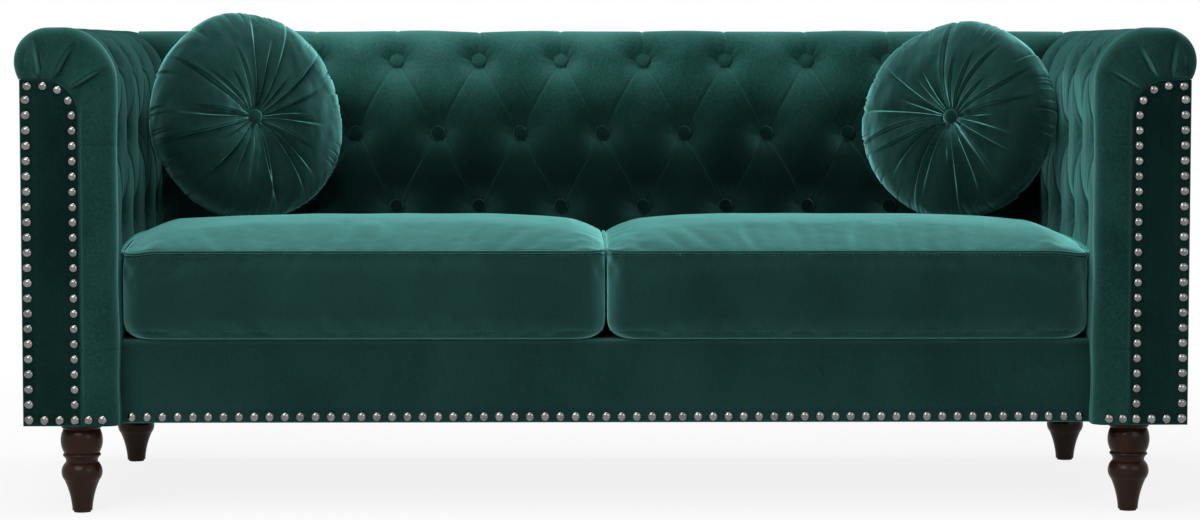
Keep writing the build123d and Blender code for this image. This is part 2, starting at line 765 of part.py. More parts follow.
def arm_nails():
    """Nails round the facing, and along the foot of the band beside it."""
    outline = facing_outline(NAIL_EDGE)
    inner_foot, inner_top, arc, top_in, top_out, outer_foot = outline
    edges = [
        Line(*at_front(inner_foot, inner_top)),
        ThreePointArc(*at_front(inner_top, arc[1:], top_in)),
        Line(*at_front(top_in, top_out)),
        Line(*at_front(top_out, outer_foot)),
        Line(*at_front(outer_foot, inner_foot)),
    ]
    path = Wire(edges)
    count = evenly(path.length, NAIL_PITCH)
    places = [path @ (i / count) for i in range(count)]
    nails = [nail_at(p.X, FRONT, p.Z) for p in places]
    band_end = ARM_IN + FRONT_ROUND + NAIL_R
    band = evenly(inner_foot[0] - band_end, NAIL_PITCH)
    for i in range(1, band + 1):
        x = inner_foot[0] + (band_end - inner_foot[0]) * i / band
        nails.append(nail_at(x, FRONT, NAIL_ROW_Z))
    return group(nails)


def at_front(*points):
    """(x, z) points on the front plane."""
    return [(x, FRONT, z) for x, z in points]


def apron_nails():
    """One row along the foot of the apron."""
    edge = ARM_IN - 2 * NAIL_R
    steps = evenly(2 * edge, NAIL_PITCH)
    return group([nail_at(-edge + 2 * edge * i / steps, APRON_FRONT, NAIL_ROW_Z) for i in range(steps + 1)])


# Seat cushions


def cushion_body(inset):
    """The right seat cushion: a crowned top, a bowed front, and ends drawn in from the full middle."""
    first = CUSHION_SIDE_GAP + inset
    last = ARM_IN - CUSHION_SIDE_GAP - inset
    bottom = CUSHION_BOTTOM + inset
    top = CUSHION_BOTTOM + CUSHION_EDGE - inset
    front = CUSHION_FRONT + CUSHION_BULGE + inset
    rear = CUSHION_REAR - inset
    stations = [
        (first, CUSHION_END_CROWN, CUSHION_END_BULGE),
        (first + CUSHION_SHOULDER, SHOULDER_CROWN, CUSHION_BULGE),
        ((first + last) / 2, CUSHION_CROWN, CUSHION_BULGE),
        (last - CUSHION_OUTER_SHOULDER, SHOULDER_CROWN, CUSHION_BULGE),
        (last, CUSHION_END_CROWN, CUSHION_END_BULGE),
    ]
    middle_y = (front + rear) / 2
    middle_z = (bottom + top) / 2
    sections = []
    for x, crown, bulge in stations:
        edges = [
            Line((x, front, bottom), (x, rear, bottom)),
            Line((x, rear, bottom), (x, rear, top)),
            ThreePointArc((x, rear, top), (x, middle_y, top + crown), (x, front, top)),
            ThreePointArc((x, front, top), (x, front - bulge, middle_z), (x, front, bottom)),
        ]
        sections.append(Face(Wire(edges)))
    body = loft(sections)
    lower_ends = [e for e in body.edges() if is_lower_end(e, first, last, bottom)]
    return fillet(lower_ends, CUSHION_CORNER_R - inset)


def is_lower_end(edge, first, last, bottom):
    """True for the two edges where the cushion's ends meet its underside."""
    middle = edge @ 0.5
    at_end = min(abs(middle.X - first), abs(middle.X - last)) < 0.01
    return at_end and abs(middle.Z - bottom) < 0.01


def cushion_cover():
    return cushion_body(0) - cushion_body(SKIN)


def cushion_foam():
    return cushion_body(SKIN + SOFT_GAP)


CUSHION_MIDDLE_X = ARM_IN / 2
ZIP_Z = CUSHION_BOTTOM + CUSHION_EDGE / 2


def zip_tape():
    """Closed zip sewn along the rear of the cushion cover."""
    span_x = (CUSHION_MIDDLE_X - ZIP_LENGTH / 2, CUSHION_MIDDLE_X + ZIP_LENGTH / 2)
    span_z = (ZIP_Z - ZIP_TAPE_WIDTH / 2, ZIP_Z + ZIP_TAPE_WIDTH / 2)
    return block(span_x, (CUSHION_REAR, CUSHION_REAR + ZIP_TAPE), span_z)


def zip_slider():
    """Slider of the zip, at the closed end nearest the sofa's middle, with its puller hanging down."""
    low_x = CUSHION_MIDDLE_X - ZIP_LENGTH / 2
    low_y = CUSHION_REAR + ZIP_TAPE + SOFT_GAP
    body = block(
        (low_x, low_x + SLIDER_LENGTH),
        (low_y, low_y + SLIDER_THICK),
        (ZIP_Z - SLIDER_WIDTH / 2, ZIP_Z + SLIDER_WIDTH / 2),
    )
    body = fillet(body.edges().filter_by(Axis.Y), SLIDER_WIDTH / 3)
    puller = block(
        (low_x + SLIDER_LENGTH / 3, low_x + SLIDER_LENGTH * 2 / 3),
        (low_y + SLIDER_THICK / 2, low_y + SLIDER_THICK),
        (ZIP_Z - 3 * SLIDER_WIDTH, ZIP_Z),
    )
    return body + puller


# Round pillows


def pillow_blank(inset):
    """A turned round pillow on the Z axis, tufted in the middle of both faces."""
    rim = PILLOW_RIM - inset * 0.7
    seam = PILLOW_SEAM_R - inset * 0.7
    tuft = PILLOW_TUFT - inset
    crown = PILLOW_CROWN - inset
    flat = PILLOW_BUTTON_R + 1
    outline = [
        (0, tuft),
        (flat, tuft),
        ("arc", PILLOW_CROWN_R, crown),
        (seam, rim),
        ("arc", PILLOW_R - inset, 0),
        (seam, -rim),
        ("arc", PILLOW_CROWN_R, -crown),
        (flat, -tuft),
        (0, -tuft),
    ]
    return turned(outline)


def pillow_pleats():
    """Radial pleats from the button towards the seam, on both faces."""
    first = 2 * PILLOW_BUTTON_R
    depth = PILLOW_PLEAT_DEPTH
    outline = [
        (first, PILLOW_TUFT + depth),
        (PILLOW_CROWN_R, PILLOW_CROWN - depth),
        (PILLOW_SEAM_R, PILLOW_RIM - depth),
        (PILLOW_SEAM_R, PILLOW_CROWN + depth),
        (first, PILLOW_CROWN + depth),
    ]
    upper = across(outline, (-PILLOW_PLEAT_WIDTH / 2, PILLOW_PLEAT_WIDTH / 2))
    pair = [upper, mirror(upper, about=Plane.XY)]
    turns = [360 / PILLOW_PLEATS * i for i in range(PILLOW_PLEATS)]
    return [Rot(0, 0, turn) * slot for turn in turns for slot in pair]


def pillow_place(height):
    """Where the right pillow stands: turned in from the corner and leaning back, its face to the front."""
    lean = Rot(90 - PILLOW_LEAN, 0, 0)
    return Pos(PILLOW_X, PILLOW_Y, height) * Rot(0, 0, -PILLOW_TURN) * lean


def pillow_height():
    """Height of the pillow's middle at which it stands on the seat cushion."""
    blank = pillow_blank(0)
    seat = cushion_body(0)
    height = CUSHION_BOTTOM + CUSHION_EDGE + CUSHION_CROWN + PILLOW_R + PILLOW_CROWN
    for _ in range(8):
        height -= (pillow_place(height) * blank).distance_to(seat) - SOFT_GAP
    return height


def pillow_cover():
    return pillow_blank(0) - pillow_blank(WADDING) - pillow_pleats()


def pillow_fill():
    return pillow_blank(WADDING + SOFT_GAP)


def pillow_buttons():
    """A covered button on each face."""
    front = button(Plane.XY.offset(PILLOW_TUFT), PILLOW_BUTTON_R, 0)
    return group([front, mirror(front, about=Plane.XY)])


# Legs and fasteners


def leg():
    """Turned leg: collar, bulb, ring, waist, then a shoulder that tapers to the foot."""
    low = GLIDE_THICK
    share = (LEG_HEIGHT - low) / 100
    profile = [
        (0, 100),
        (LEG_COLLAR_R, 100),
        (LEG_COLLAR_R, 95.5),
        (LEG_GROOVE_R, 93),
        ("arc", LEG_BULB_R, 81),
        (LEG_NECK_R, 65.5),
        ("arc", LEG_RING_R, 63.5),
        (LEG_NECK_R, 61.5),
        (LEG_WAIST_R, 58.5),
        (LEG_WAIST_R, 55.5),
        ("arc", LEG_SHOULDER_R, 45),
        (LEG_CALF_R, 34.5),
        ("arc", LEG_ANKLE_R, 18),
        (LEG_FOOT_R, 0),
        (0, 0),
    ]
    outline = [(*entry[:-1], low + entry[-1] * share) for entry in profile]
    drill = Pos(0, 0, LEG_HEIGHT - HANGER_IN_LEG / 2) * Cylinder(BOLT_R + DRILL_GAP, HANGER_IN_LEG)
    return turned(outline) - drill


def at_legs(part):
    """A copy of a part at each of the four legs."""
    return both_sides(group([Pos(x, y, 0) * part for x, y in LEG_PLACES]))


def leg_glides():
    return at_legs(Pos(0, 0, GLIDE_THICK / 2) * Cylinder(GLIDE_R, GLIDE_THICK))


def hanger_bolts():
    length = HANGER_IN_LEG + HANGER_IN_RAIL
    middle = LEG_HEIGHT + (HANGER_IN_RAIL - HANGER_IN_LEG) / 2
    return at_legs(Pos(0, 0, middle) * Cylinder(BOLT_R, length))


def leg_nuts():
    """T-nuts in the arms' bottom rails: a barrel in the rail and a flange on top of it."""
    top = FRAME_BOTTOM + RAIL
    barrel = Pos(0, 0, top - TNUT_BARREL / 2) * Cylinder(TNUT_BARREL_R, TNUT_BARREL)
    flange = Pos(0, 0, top + TNUT_FLANGE / 2) * Cylinder(TNUT_FLANGE_R, TNUT_FLANGE)
    drill = Pos(0, 0, top) * Cylinder(BOLT_R + DRILL_GAP, 2 * RAIL)
    return at_legs(barrel + flange - drill)


def frame_bolts():
    """Hex bolts through the arms' side rails into the seat and back rails."""
    length = BOARD + BOLT_GRIP
    shank = Pos(0, 0, -length / 2) * Cylinder(BOLT_R, length)
    bolt = shank + extrude(RegularPolygon(BOLT_HEAD_R, 6), BOLT_HEAD)
    seat = FRAME_IN + BOARD
    bolts = [Plane(origin=(seat, y, z), z_dir=(1, 0, 0)) * bolt for y, z in frame_bolt_places()]
    return both_sides(group(bolts))


def write(name, shape):
    shape.label = name
    export_step(shape, os.path.join("parts", name + ".step"))


def write_pair(name, shape):
    """A right-hand piece, and its mirror image on the left."""
    write("right_" + name, shape)
    write("left_" + name, mirror(shape, about=Plane.YZ))


def main():
    os.makedirs("parts", exist_ok=True)

    write("seat_front_rail", seat_rail(RAIL_FRONT))
    write("seat_back_rail", seat_rail(BACK_FRAME_Y))
    write("seat_stretchers", seat_stretchers())
    write("corner_blocks", corner_blocks())
    write("seat_springs", seat_springs())
    write("spring_clips", spring_clips())
    write("deck_pad", deck_pad())
    write("deck_cloth", deck_cloth())
    write("apron_cover", apron_cover())
    write("apron_nails", apron_nails())
    write("dust_cover", dust_cover())

    write_pair("arm_cover", arm_cover())
    write_pair("arm_foam", arm_foam())
    write_pair("arm_facing", arm_facing())
    write("arm_front_boards", both_sides(arm_end_board(FRAME_FRONT)))
    write("arm_rear_boards", both_sides(arm_end_board(FRAME_REAR - BOARD)))
    write("arm_top_boards", both_sides(arm_top_board()))
    write("arm_bottom_rails", both_sides(arm_bottom_rail()))
    write("arm_side_rails", both_sides(arm_side_rail()))
    write("arm_inner_panels", both_sides(arm_inner_panel()))
    write("arm_outer_panels", both_sides(arm_outer_panel()))
    write_pair("arm_outside_cover", arm_outside_cover())
    write_pair("arm_buttons", arm_buttons())
    write_pair("arm_nails", arm_nails())

    write("back_cover", back_cover())
    write("back_foam", back_foam())
    write("back_buttons", back_buttons())
    write("back_lower_rail", back_lower_rail())
    write("back_top_rail", back_top_rail())
    write("back_posts", back_posts())
    write("back_webbing", back_webbing())
    write("outside_back_cover", outside_back_cover())

    write_pair("cushion_cover", cushion_cover())
    write_pair("cushion_foam", cushion_foam())
    write_pair("zip_tape", zip_tape())
    write_pair("zip_slider", zip_slider())

    place = pillow_place(pillow_height())
    write_pair("pillow_cover", place * pillow_cover())
    write_pair("pillow_fill", place * pillow_fill())
    write_pair("pillow_buttons", place * pillow_buttons())

    for place_name, (x, y) in zip(("front_leg", "rear_leg"), LEG_PLACES):
        write_pair(place_name, Pos(x, y, 0) * leg())
    write("leg_glides", leg_glides())
    write("hanger_bolts", hanger_bolts())
    write("leg_nuts", leg_nuts())
    write("frame_bolts", frame_bolts())


main()
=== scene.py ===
"""Looks of the velvet sofa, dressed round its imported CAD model. Metres, +Z up, the sofa faces -Y."""

import json
import math
from collections import namedtuple

import bpy
import numpy as np
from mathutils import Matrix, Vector


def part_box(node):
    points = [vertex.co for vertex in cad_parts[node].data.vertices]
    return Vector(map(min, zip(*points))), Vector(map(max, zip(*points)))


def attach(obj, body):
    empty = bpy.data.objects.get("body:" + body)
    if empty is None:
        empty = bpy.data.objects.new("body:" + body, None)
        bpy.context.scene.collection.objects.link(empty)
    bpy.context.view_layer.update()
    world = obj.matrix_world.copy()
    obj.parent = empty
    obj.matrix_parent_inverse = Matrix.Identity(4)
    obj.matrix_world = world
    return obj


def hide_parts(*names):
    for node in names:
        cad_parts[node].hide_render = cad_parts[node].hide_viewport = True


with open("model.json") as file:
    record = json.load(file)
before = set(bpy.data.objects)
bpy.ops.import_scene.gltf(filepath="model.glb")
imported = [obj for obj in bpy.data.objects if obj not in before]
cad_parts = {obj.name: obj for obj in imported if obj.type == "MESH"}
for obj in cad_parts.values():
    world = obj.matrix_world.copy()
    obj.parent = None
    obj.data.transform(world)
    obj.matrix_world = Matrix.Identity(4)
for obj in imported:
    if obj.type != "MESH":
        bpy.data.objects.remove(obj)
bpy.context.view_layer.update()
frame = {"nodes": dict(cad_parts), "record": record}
nodes = frame["nodes"]

# Places read from the CAD model
ARM_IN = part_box("right_arm_cover")[0].x
ROLL_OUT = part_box("right_arm_cover")[1].x
ARM_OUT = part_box("right_arm_outside_cover")[1].x
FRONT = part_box("right_arm_facing")[0].y
FRAME_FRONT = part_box("right_arm_facing")[1].y
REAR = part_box("outside_back_cover")[1].y
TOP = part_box("right_arm_cover")[1].z
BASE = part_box("right_arm_cover")[0].z
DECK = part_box("deck_cloth")[1].z
FACING_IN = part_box("right_arm_facing")[0].x
FACING_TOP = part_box("right_arm_outside_cover")[1].z
APRON_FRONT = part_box("apron_cover")[0].y
APRON_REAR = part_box("apron_cover")[1].y
APRON_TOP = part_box("apron_cover")[1].z
BACK_FOOT_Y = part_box("back_cover")[0].y
BACK_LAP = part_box("back_cover")[1].x - ARM_IN

# Radii, angles and tuft places of the upholstery, the same as in the CAD model
SHOULDER_R = 0.087
ROLL_R = 0.057
FACING_CORNER_R = 0.057
BACK_LEAN = math.radians(8)
BACK_TOP_R = 0.060
BACK_REAR_R = 0.045
ROW_TOP = 0.760
ROW_PITCH = 0.135
ROW_COUNT = 3
BACK_PITCH = 0.152
BACK_FIRST = -4.5 * BACK_PITCH
ARM_PITCH = 0.145
ARM_FIRST = FRONT + 0.120
BUTTON_R = 0.0130

# Soft shapes that only the looks have
BUTTON_RISE = 0.0050
BUTTON_SINK = 0.0190
FRONT_ROUND = 0.022
TAIL_ROUND = 0.012
TAIL_GAP = 0.0045
BACK_PUFF = 0.0042
ARM_PUFF = 0.0038
BACK_DIMPLE = 0.0470
ARM_DIMPLE = 0.0180
BACK_DIMPLE_R = 0.0330
ARM_DIMPLE_R = 0.0280
DIMPLE_FALL = 1.6
DIAMOND_FULLNESS = 0.22
STRAIGHT_FULLNESS = 0.44
CREASE = 0.0023
CREASE_R = 0.0025
CREASE_FALL = 1.5
TOP_CREASE = 0.0060
CREASE_HOLD = 0.55
CREST_REACH = 0.06
FAN_CREASE = 0.0060
FAN_START = 0.0040
FAN_SPREAD = 0.40
FAN_FADE = (0.014, 0.040)
GATHER_COUNT = 9
GATHER_HEIGHT = 0.0007
GATHER_RING = (0.024, 0.009)


# Small helpers


def smoothstep(low, high, value):
    t = np.clip((value - low) / (high - low), 0, 1)
    return t * t * (3 - 2 * t)


def wave_noise(a, b, seed, scale):
    """Smooth, repeatable noise from a few sine waves, about -1 to 1, over two coordinates in metres."""
    rng = np.random.default_rng(seed)
    total = np.zeros(np.broadcast(a, b).shape)
    for _ in range(7):
        angle = rng.uniform(0, 2 * math.pi)
        k = 2 * math.pi / (scale * rng.uniform(0.6, 1.8))
        total += np.sin(k * (a * math.cos(angle) + b * math.sin(angle)) + rng.uniform(0, 2 * math.pi))
    return total / 4


def mesh_object(name, points, faces):
    mesh = bpy.data.meshes.new(name)
    mesh.from_pydata([tuple(p) for p in points], [], [tuple(int(i) for i in f) for f in faces])
    mesh.validate()
    mesh.shade_smooth()
    obj = bpy.data.objects.new(name, mesh)
    bpy.context.scene.collection.objects.link(obj)
    return obj


def grid_faces(nu, nv, closed_u=False, closed_v=False):
    """Quads over a grid of nu by nv points."""
    index = np.arange(nu * nv).reshape(nu, nv)
    if closed_u:
        index = np.vstack([index, index[:1]])
    if closed_v:
        index = np.hstack([index, index[:, :1]])
    corners = [index[:-1, :-1], index[1:, :-1], index[1:, 1:], index[:-1, 1:]]
    return np.stack(corners, axis=-1).reshape(-1, 4)


def grid_object(name, points, closed_u=False, closed_v=False):
    """A smooth mesh from an array of points [u, v, xyz]."""
    faces = grid_faces(*points.shape[:2], closed_u, closed_v)
    return mesh_object(name, points.reshape(-1, 3), faces)


def unit(vectors):
    return vectors / np.maximum(np.linalg.norm(vectors, axis=-1, keepdims=True), 1e-12)


def grid_normals(points):
    """Unit normals of a grid of points, from its two directions."""
    return unit(np.cross(np.gradient(points, axis=0), np.gradient(points, axis=1)))


def arc_points(centre, radius, start, end, step):
    """Points of an arc in a plane, from one angle to another in degrees."""
    count = max(2, int(abs(math.radians(end - start)) * radius / step) + 1)
    turn = np.radians(np.linspace(start, end, count))
    return np.stack([centre[0] + radius * np.cos(turn), centre[1] + radius * np.sin(turn)], axis=1)


def line_points(start, end, step):
    count = max(2, int(math.dist(start, end) / step) + 1)
    t = np.linspace(0, 1, count)[:, None]
    return np.array(start) * (1 - t) + np.array(end) * t


def join_paths(*paths):
    """Several runs of points as one, without the doubled end points."""
    return np.vstack([paths[0], *[p[1:] for p in paths[1:]]])


def path_length(points):
    return np.concatenate([[0], np.cumsum(np.linalg.norm(np.diff(points, axis=0), axis=1))])


def face_outward(obj):
    """Turns all faces of a piece the same way, outward."""
    bpy.context.view_layer.objects.active = obj
    obj.select_set(True)
    bpy.ops.object.mode_set(mode="EDIT")
    bpy.ops.mesh.select_all(action="SELECT")
    bpy.ops.mesh.normals_make_consistent(inside=False)
    bpy.ops.object.mode_set(mode="OBJECT")
    obj.select_set(False)
    obj.data.shade_smooth()


def mirrored(points):
    """A right-hand grid of points as the left-hand one, with its faces still outward."""
    return (points * np.array([-1, 1, 1]))[::-1]


# Materials


def new_material(name):
    material = bpy.data.materials.new(name)
    material.use_nodes = True
    tree = material.node_tree
    shader = tree.nodes["Principled BSDF"]
    return material, tree, shader


def set_inputs(node, values):
    """Sets sockets of a node by their names."""
    for socket, value in values.items():
        node.inputs[socket].default_value = value


def noise_value(tree, scale, detail=3.0, stretch=(1, 1, 1)):
    """The value of a noise texture in object coordinates."""
    coords = tree.nodes.new("ShaderNodeTexCoord")
    mapping = tree.nodes.new("ShaderNodeMapping")
    mapping.inputs["Scale"].default_value = stretch
    noise = tree.nodes.new("ShaderNodeTexNoise")
    set_inputs(noise, {"Scale": scale, "Detail": detail})
    tree.links.new(coords.outputs["Object"], mapping.inputs["Vector"])
    tree.links.new(mapping.outputs["Vector"], noise.inputs["Vector"])
    return noise.outputs["Fac"]


def colour_ramp(tree, factor, stops):
    ramp = tree.nodes.new("ShaderNodeValToRGB")
    elements = ramp.color_ramp.elements
    while len(elements) < len(stops):
        elements.new(0.5)
    for element, (place, colour) in zip(elements, stops):
        element.position = place
        element.color = (*colour, 1)
    tree.links.new(factor, ramp.inputs["Fac"])
    return ramp.outputs["Color"]


def mottle(tree, shader, factor, low, dark, light):
    """Colours a shader from dark to light by a value that runs from low to 1 - low."""
    ramp = colour_ramp(tree, factor, [(low, dark), (1 - low, light)])
    tree.links.new(ramp, shader.inputs["Base Color"])


def smooth_range(tree, value, start, end, first, last):
    """A value that changes smoothly from first to last while another goes from start to end."""
    node = tree.nodes.new("ShaderNodeMapRange")
    node.interpolation_type = "SMOOTHSTEP"
    set_inputs(node, {"From Min": start, "From Max": end, "To Min": first, "To Max": last})
    tree.links.new(value, node.inputs["Value"])
    return node.outputs["Result"]


def math_node(tree, operation, *values):
    """The result of a math node. Each of its inputs is a socket or a number."""
    node = tree.nodes.new("ShaderNodeMath")
    node.operation = operation
    for socket, value in zip(node.inputs, values):
        if isinstance(value, (int, float)):
            socket.default_value = value
        else:
            tree.links.new(value, socket)
    return node.outputs["Value"]


def add_bump(tree, shader, height, strength, distance):
    """Fine relief on a shader. Its node is returned, for a broader relief under it."""
    bump = tree.nodes.new("ShaderNodeBump")
    set_inputs(bump, {"Strength": strength, "Distance": distance})
    tree.links.new(height, bump.inputs["Height"])
    tree.links.new(bump.outputs["Normal"], shader.inputs["Normal"])
    return bump


NAP_SWAY = 0.0045
PILE_COLOURS = (
    (0.36, (0.0030, 0.0140, 0.0118)),
    (0.50, (0.0060, 0.0258, 0.0218)),
    (0.66, (0.0105, 0.0400, 0.0345)),
)
SHEEN_TINT = (0.29, 0.92, 0.87, 1)


def velvet_material(name, depth, sheen, sheen_roughness, crest=None, sway=NAP_SWAY):
    """Cut pile: a deep colour with brushed strokes and fine nap, and a sheen at grazing angles.

    depth scales the colour of the pile seen head-on. The copies below set it, and the sheen, per piece,
    as painted shade and painted light.
    crest, as (low, high, depth), gives the depth above a height: painted light on the top of a piece.
    sway is how far the brushed strokes tip the nap.
    """
    material, tree, shader = new_material(name)
    patches = noise_value(tree, 6.0, 6.0, (1, 1, 0.6))
    grain = noise_value(tree, 260.0, 2.0)
    tone = math_node(tree, "MULTIPLY_ADD", grain, 0.35, math_node(tree, "MULTIPLY", patches, 0.65))
    scaled = tree.nodes.new("ShaderNodeVectorMath")
    scaled.operation = "SCALE"
    scaled.inputs["Scale"].default_value = depth
    tree.links.new(colour_ramp(tree, tone, PILE_COLOURS), scaled.inputs[0])
    tree.links.new(scaled.outputs["Vector"], shader.inputs["Base Color"])
    # Painted light: the base colour grows with height from low to high, so the top of a piece reads lit.
    if crest:
        low, high, lit_top_depth = crest
        coords = tree.nodes.new("ShaderNodeTexCoord")
        split = tree.nodes.new("ShaderNodeSeparateXYZ")
        tree.links.new(coords.outputs["Object"], split.inputs["Vector"])
        blend = smooth_range(tree, split.outputs["Z"], low, high, depth, lit_top_depth)
        tree.links.new(blend, scaled.inputs["Scale"])
    set_inputs(shader, {"Roughness": 0.8, "Specular IOR Level": 0.0, "Sheen Weight": sheen,
                        "Sheen Roughness": sheen_roughness, "Sheen Tint": SHEEN_TINT})
    nap = noise_value(tree, 850.0, 2.0)
    brushed = noise_value(tree, 45.0, 4.0, (1, 1, 0.5))
    height = math_node(tree, "MULTIPLY_ADD", brushed, 0.8, nap)
    pile = add_bump(tree, shader, height, 0.32, 0.0009)
    strokes = noise_value(tree, 8.0, 3.0, (1, 1, 0.55))
    add_bump(tree, pile, strokes, 1.0, sway)
    return material


def wood_material(name, dark, light, roughness, shine, coat=0.0):
    material, tree, shader = new_material(name)
    grain = noise_value(tree, 14.0, 6.0, (1, 1, 0.12))
    mottle(tree, shader, grain, 0.3, dark, light)
    set_inputs(shader, {"Roughness": roughness, "Specular IOR Level": shine, "Coat Weight": coat,
                        "Coat Roughness": 0.07})
    add_bump(tree, shader, grain, 0.06, 0.001)
    return material


def metal_material(name, dark, light, roughness):
    material, tree, shader = new_material(name)
    mottle(tree, shader, noise_value(tree, 60.0, 2.0), 0.3, dark, light)
    set_inputs(shader, {"Metallic": 1.0, "Roughness": roughness})
    return material


def cloth_material(name, dark, light, scale=400.0):
    """Plain woven or felted cloth, foam and plastic."""
    material, tree, shader = new_material(name)
    weave = noise_value(tree, scale, 3.0)
    mottle(tree, shader, weave, 0.35, dark, light)
    set_inputs(shader, {"Roughness": 0.9})
    add_bump(tree, shader, weave, 0.3, 0.0006)
    return material


VELVET = velvet_material("velvet", 0.55, 1.0, 0.50)
# The back's copy: painted shade, darker and with less sheen than the seat's velvet, and painted light,
# lighter from 0.57 to 0.78 m up.
VELVET_BACK_PAINTED_SHADING = velvet_material("velvet_back_painted_shading", 0.22, 0.60, 0.45, (0.57, 0.78, 2.1))
# The arms' copies: more colour and far less sheen than the seat's, so the inner faces read darker: painted
# shade. The left arm's is darker again than the right's: painted shade where the light falls from the left.
ARM_VELVETS_PAINTED_SHADE = {
    "left": velvet_material("velvet_left_arm_painted_shade", 0.85, 0.12, 0.50, sway=0.010),
    "right": velvet_material("velvet_right_arm_painted_shade", 1.15, 0.28, 0.50, sway=0.016),
}
# Painted light: the arms' front bands get a lighter copy, with more sheen than the inner faces.
VELVET_BAND_PAINTED_LIGHT = velvet_material("velvet_band_painted_light", 1.25, 0.45, 0.48)
# Painted shade: the facings' copy has less sheen than the seat's velvet, so they read darker.
VELVET_FACING_PAINTED_SHADE = velvet_material("velvet_facing_painted_shade", 0.56, 0.6, 0.43)
VELVET_PILLOW = velvet_material("velvet_pillow", 0.55, 1.0, 0.46, sway=0.028)
LEG_WOOD = wood_material("leg_wood", (0.009, 0.0036, 0.0017), (0.032, 0.0130, 0.0066), 0.35, 0.06, 0.10)
FRAME_WOOD = wood_material("frame_wood", (0.45, 0.30, 0.17), (0.62, 0.45, 0.27), 0.7, 0.3)
NAIL_METAL = metal_material("nail_metal", (0.130, 0.128, 0.124), (0.230, 0.227, 0.220), 0.06)
STEEL = metal_material("steel", (0.40, 0.40, 0.40), (0.55, 0.55, 0.55), 0.4)
FOAM = cloth_material("foam", (0.62, 0.57, 0.44), (0.74, 0.69, 0.56), 250.0)
DARK_CLOTH = cloth_material("dark_cloth", (0.010, 0.010, 0.011), (0.022, 0.022, 0.024))
LINING = cloth_material("lining", (0.008, 0.030, 0.029), (0.014, 0.045, 0.043))
FELT = cloth_material("felt", (0.16, 0.155, 0.15), (0.30, 0.29, 0.28))
PLASTIC = cloth_material("plastic", (0.015, 0.015, 0.015), (0.03, 0.03, 0.03), 900.0)

SLOT_MATERIALS = {
    "velvet": VELVET, "foam": FOAM, "fibre_fill": FOAM, "felt": FELT, "deck_cloth": LINING,
    "dust_cloth": DARK_CLOTH, "webbing": DARK_CLOTH, "zip_tape": LINING, "zip_metal": STEEL,
    "nail": NAIL_METAL, "steel": STEEL, "leg_wood": LEG_WOOD, "frame_wood": FRAME_WOOD,
    "hardboard": FRAME_WOOD, "glide": PLASTIC,
}


def paint(obj, material):
    obj.data.materials.clear()
    obj.data.materials.append(material)


def velvet_piece(obj, body, *replaced, material=VELVET):
    """A visual piece in velvet that rides on a body, and stands for the CAD nodes named."""
    paint(obj, material)
    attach(obj, body)
    if replaced:
        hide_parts(*replaced)
    return obj


for part in frame["record"]["subparts"]:
    paint(nodes[part["node"]], SLOT_MATERIALS[part["material_slot"]])


# Tufting

Tufts = namedtuple("Tufts", "first pitch row_top row_pitch")


def rows_on(profile, length, first, pitch):
    """Where the rows of buttons fall, as lengths up a profile whose second coordinate is height."""
    crest = np.argmax(profile[:, 1]) + 1
    heights = [ROW_TOP - ROW_PITCH * row for row in (0, ROW_COUNT - 1)]
    top, low = np.interp(heights, profile[:crest, 1], length[:crest])
    return Tufts(first, pitch, top, (top - low) / (ROW_COUNT - 1))


def tuft_height(along, up, tufts, puff, dimple, dimple_r, pleat_end):
    """Height of tufted upholstery, zero at its crests and below zero in its creases and dimples.

    along runs with the rows and up across them, as lengths on the surface. Between the first and the last
    row the creases run in diamonds. Above and below them they run straight on from the buttons, and two
    short pleats fan out above each button of the top row.
    """
    a = (along - tufts.first) / tufts.pitch
    b = (tufts.row_top - up) / tufts.row_pitch / 2
    fp = (b + a) % 1.0
    fq = (b - a) % 1.0
    diamond = (16 * fp * (1 - fp) * fq * (1 - fq)) ** DIAMOND_FULLNESS
    spacing = 1 / math.hypot(1 / tufts.pitch, 0.5 / tufts.row_pitch)
    diagonal = np.minimum(np.minimum(fp, 1 - fp), np.minimum(fq, 1 - fq)) * spacing

    f = a % 1.0
    straight = (4 * f * (1 - f)) ** STRAIGHT_FULLNESS
    across = np.minimum(f, 1 - f) * tufts.pitch
    above = up >= tufts.row_top
    rise = np.maximum(up - tufts.row_top, 0)
    fan = np.abs(across - FAN_START - FAN_SPREAD * rise)
    outside = above | (up < tufts.row_top - tufts.row_pitch * (ROW_COUNT - 1))
    fade = 1 - smoothstep(tufts.row_top + CREASE_HOLD * (pleat_end - tufts.row_top), pleat_end, up)
    flat = fade * (1 - 0.7 * smoothstep(tufts.row_top, tufts.row_top + CREST_REACH, up))
    full = np.where(outside, 1 - (1 - straight) * flat, diamond)
    line = np.where(outside, across, diagonal)
    top_depth = TOP_CREASE * fade * (1 - 0.75 * smoothstep(0.0, CREST_REACH, rise))
    depth = np.where(above, top_depth, np.where(outside, CREASE * fade, CREASE))
    height = puff * (full - 1) - depth * np.exp(-((line / CREASE_R) ** CREASE_FALL))
    fan_depth = np.where(above, FAN_CREASE * (1 - smoothstep(*FAN_FADE, rise)), 0)
    height -= fan_depth * np.exp(-((fan / CREASE_R) ** CREASE_FALL))

    near = np.full(along.shape, 9.0)
    turn = np.zeros(along.shape)
    for row in range(ROW_COUNT):
        offset = 0.5 * (row % 2)
        x = along - tufts.first - (np.round(a - offset) + offset) * tufts.pitch
        z = up - (tufts.row_top - row * tufts.row_pitch)
        r = np.hypot(x, z)
        turn = np.where(r < near, np.arctan2(z, x), turn)
        near = np.minimum(near, r)
    height -= dimple * np.exp(-((near / dimple_r) ** DIMPLE_FALL))
    gathers = np.cos(GATHER_COUNT * turn + 2.0 * np.sin(along * 41.0))
    ring, ring_width = GATHER_RING
    return height + GATHER_HEIGHT * gathers * np.exp(-(((near - ring) / ring_width) ** 2))


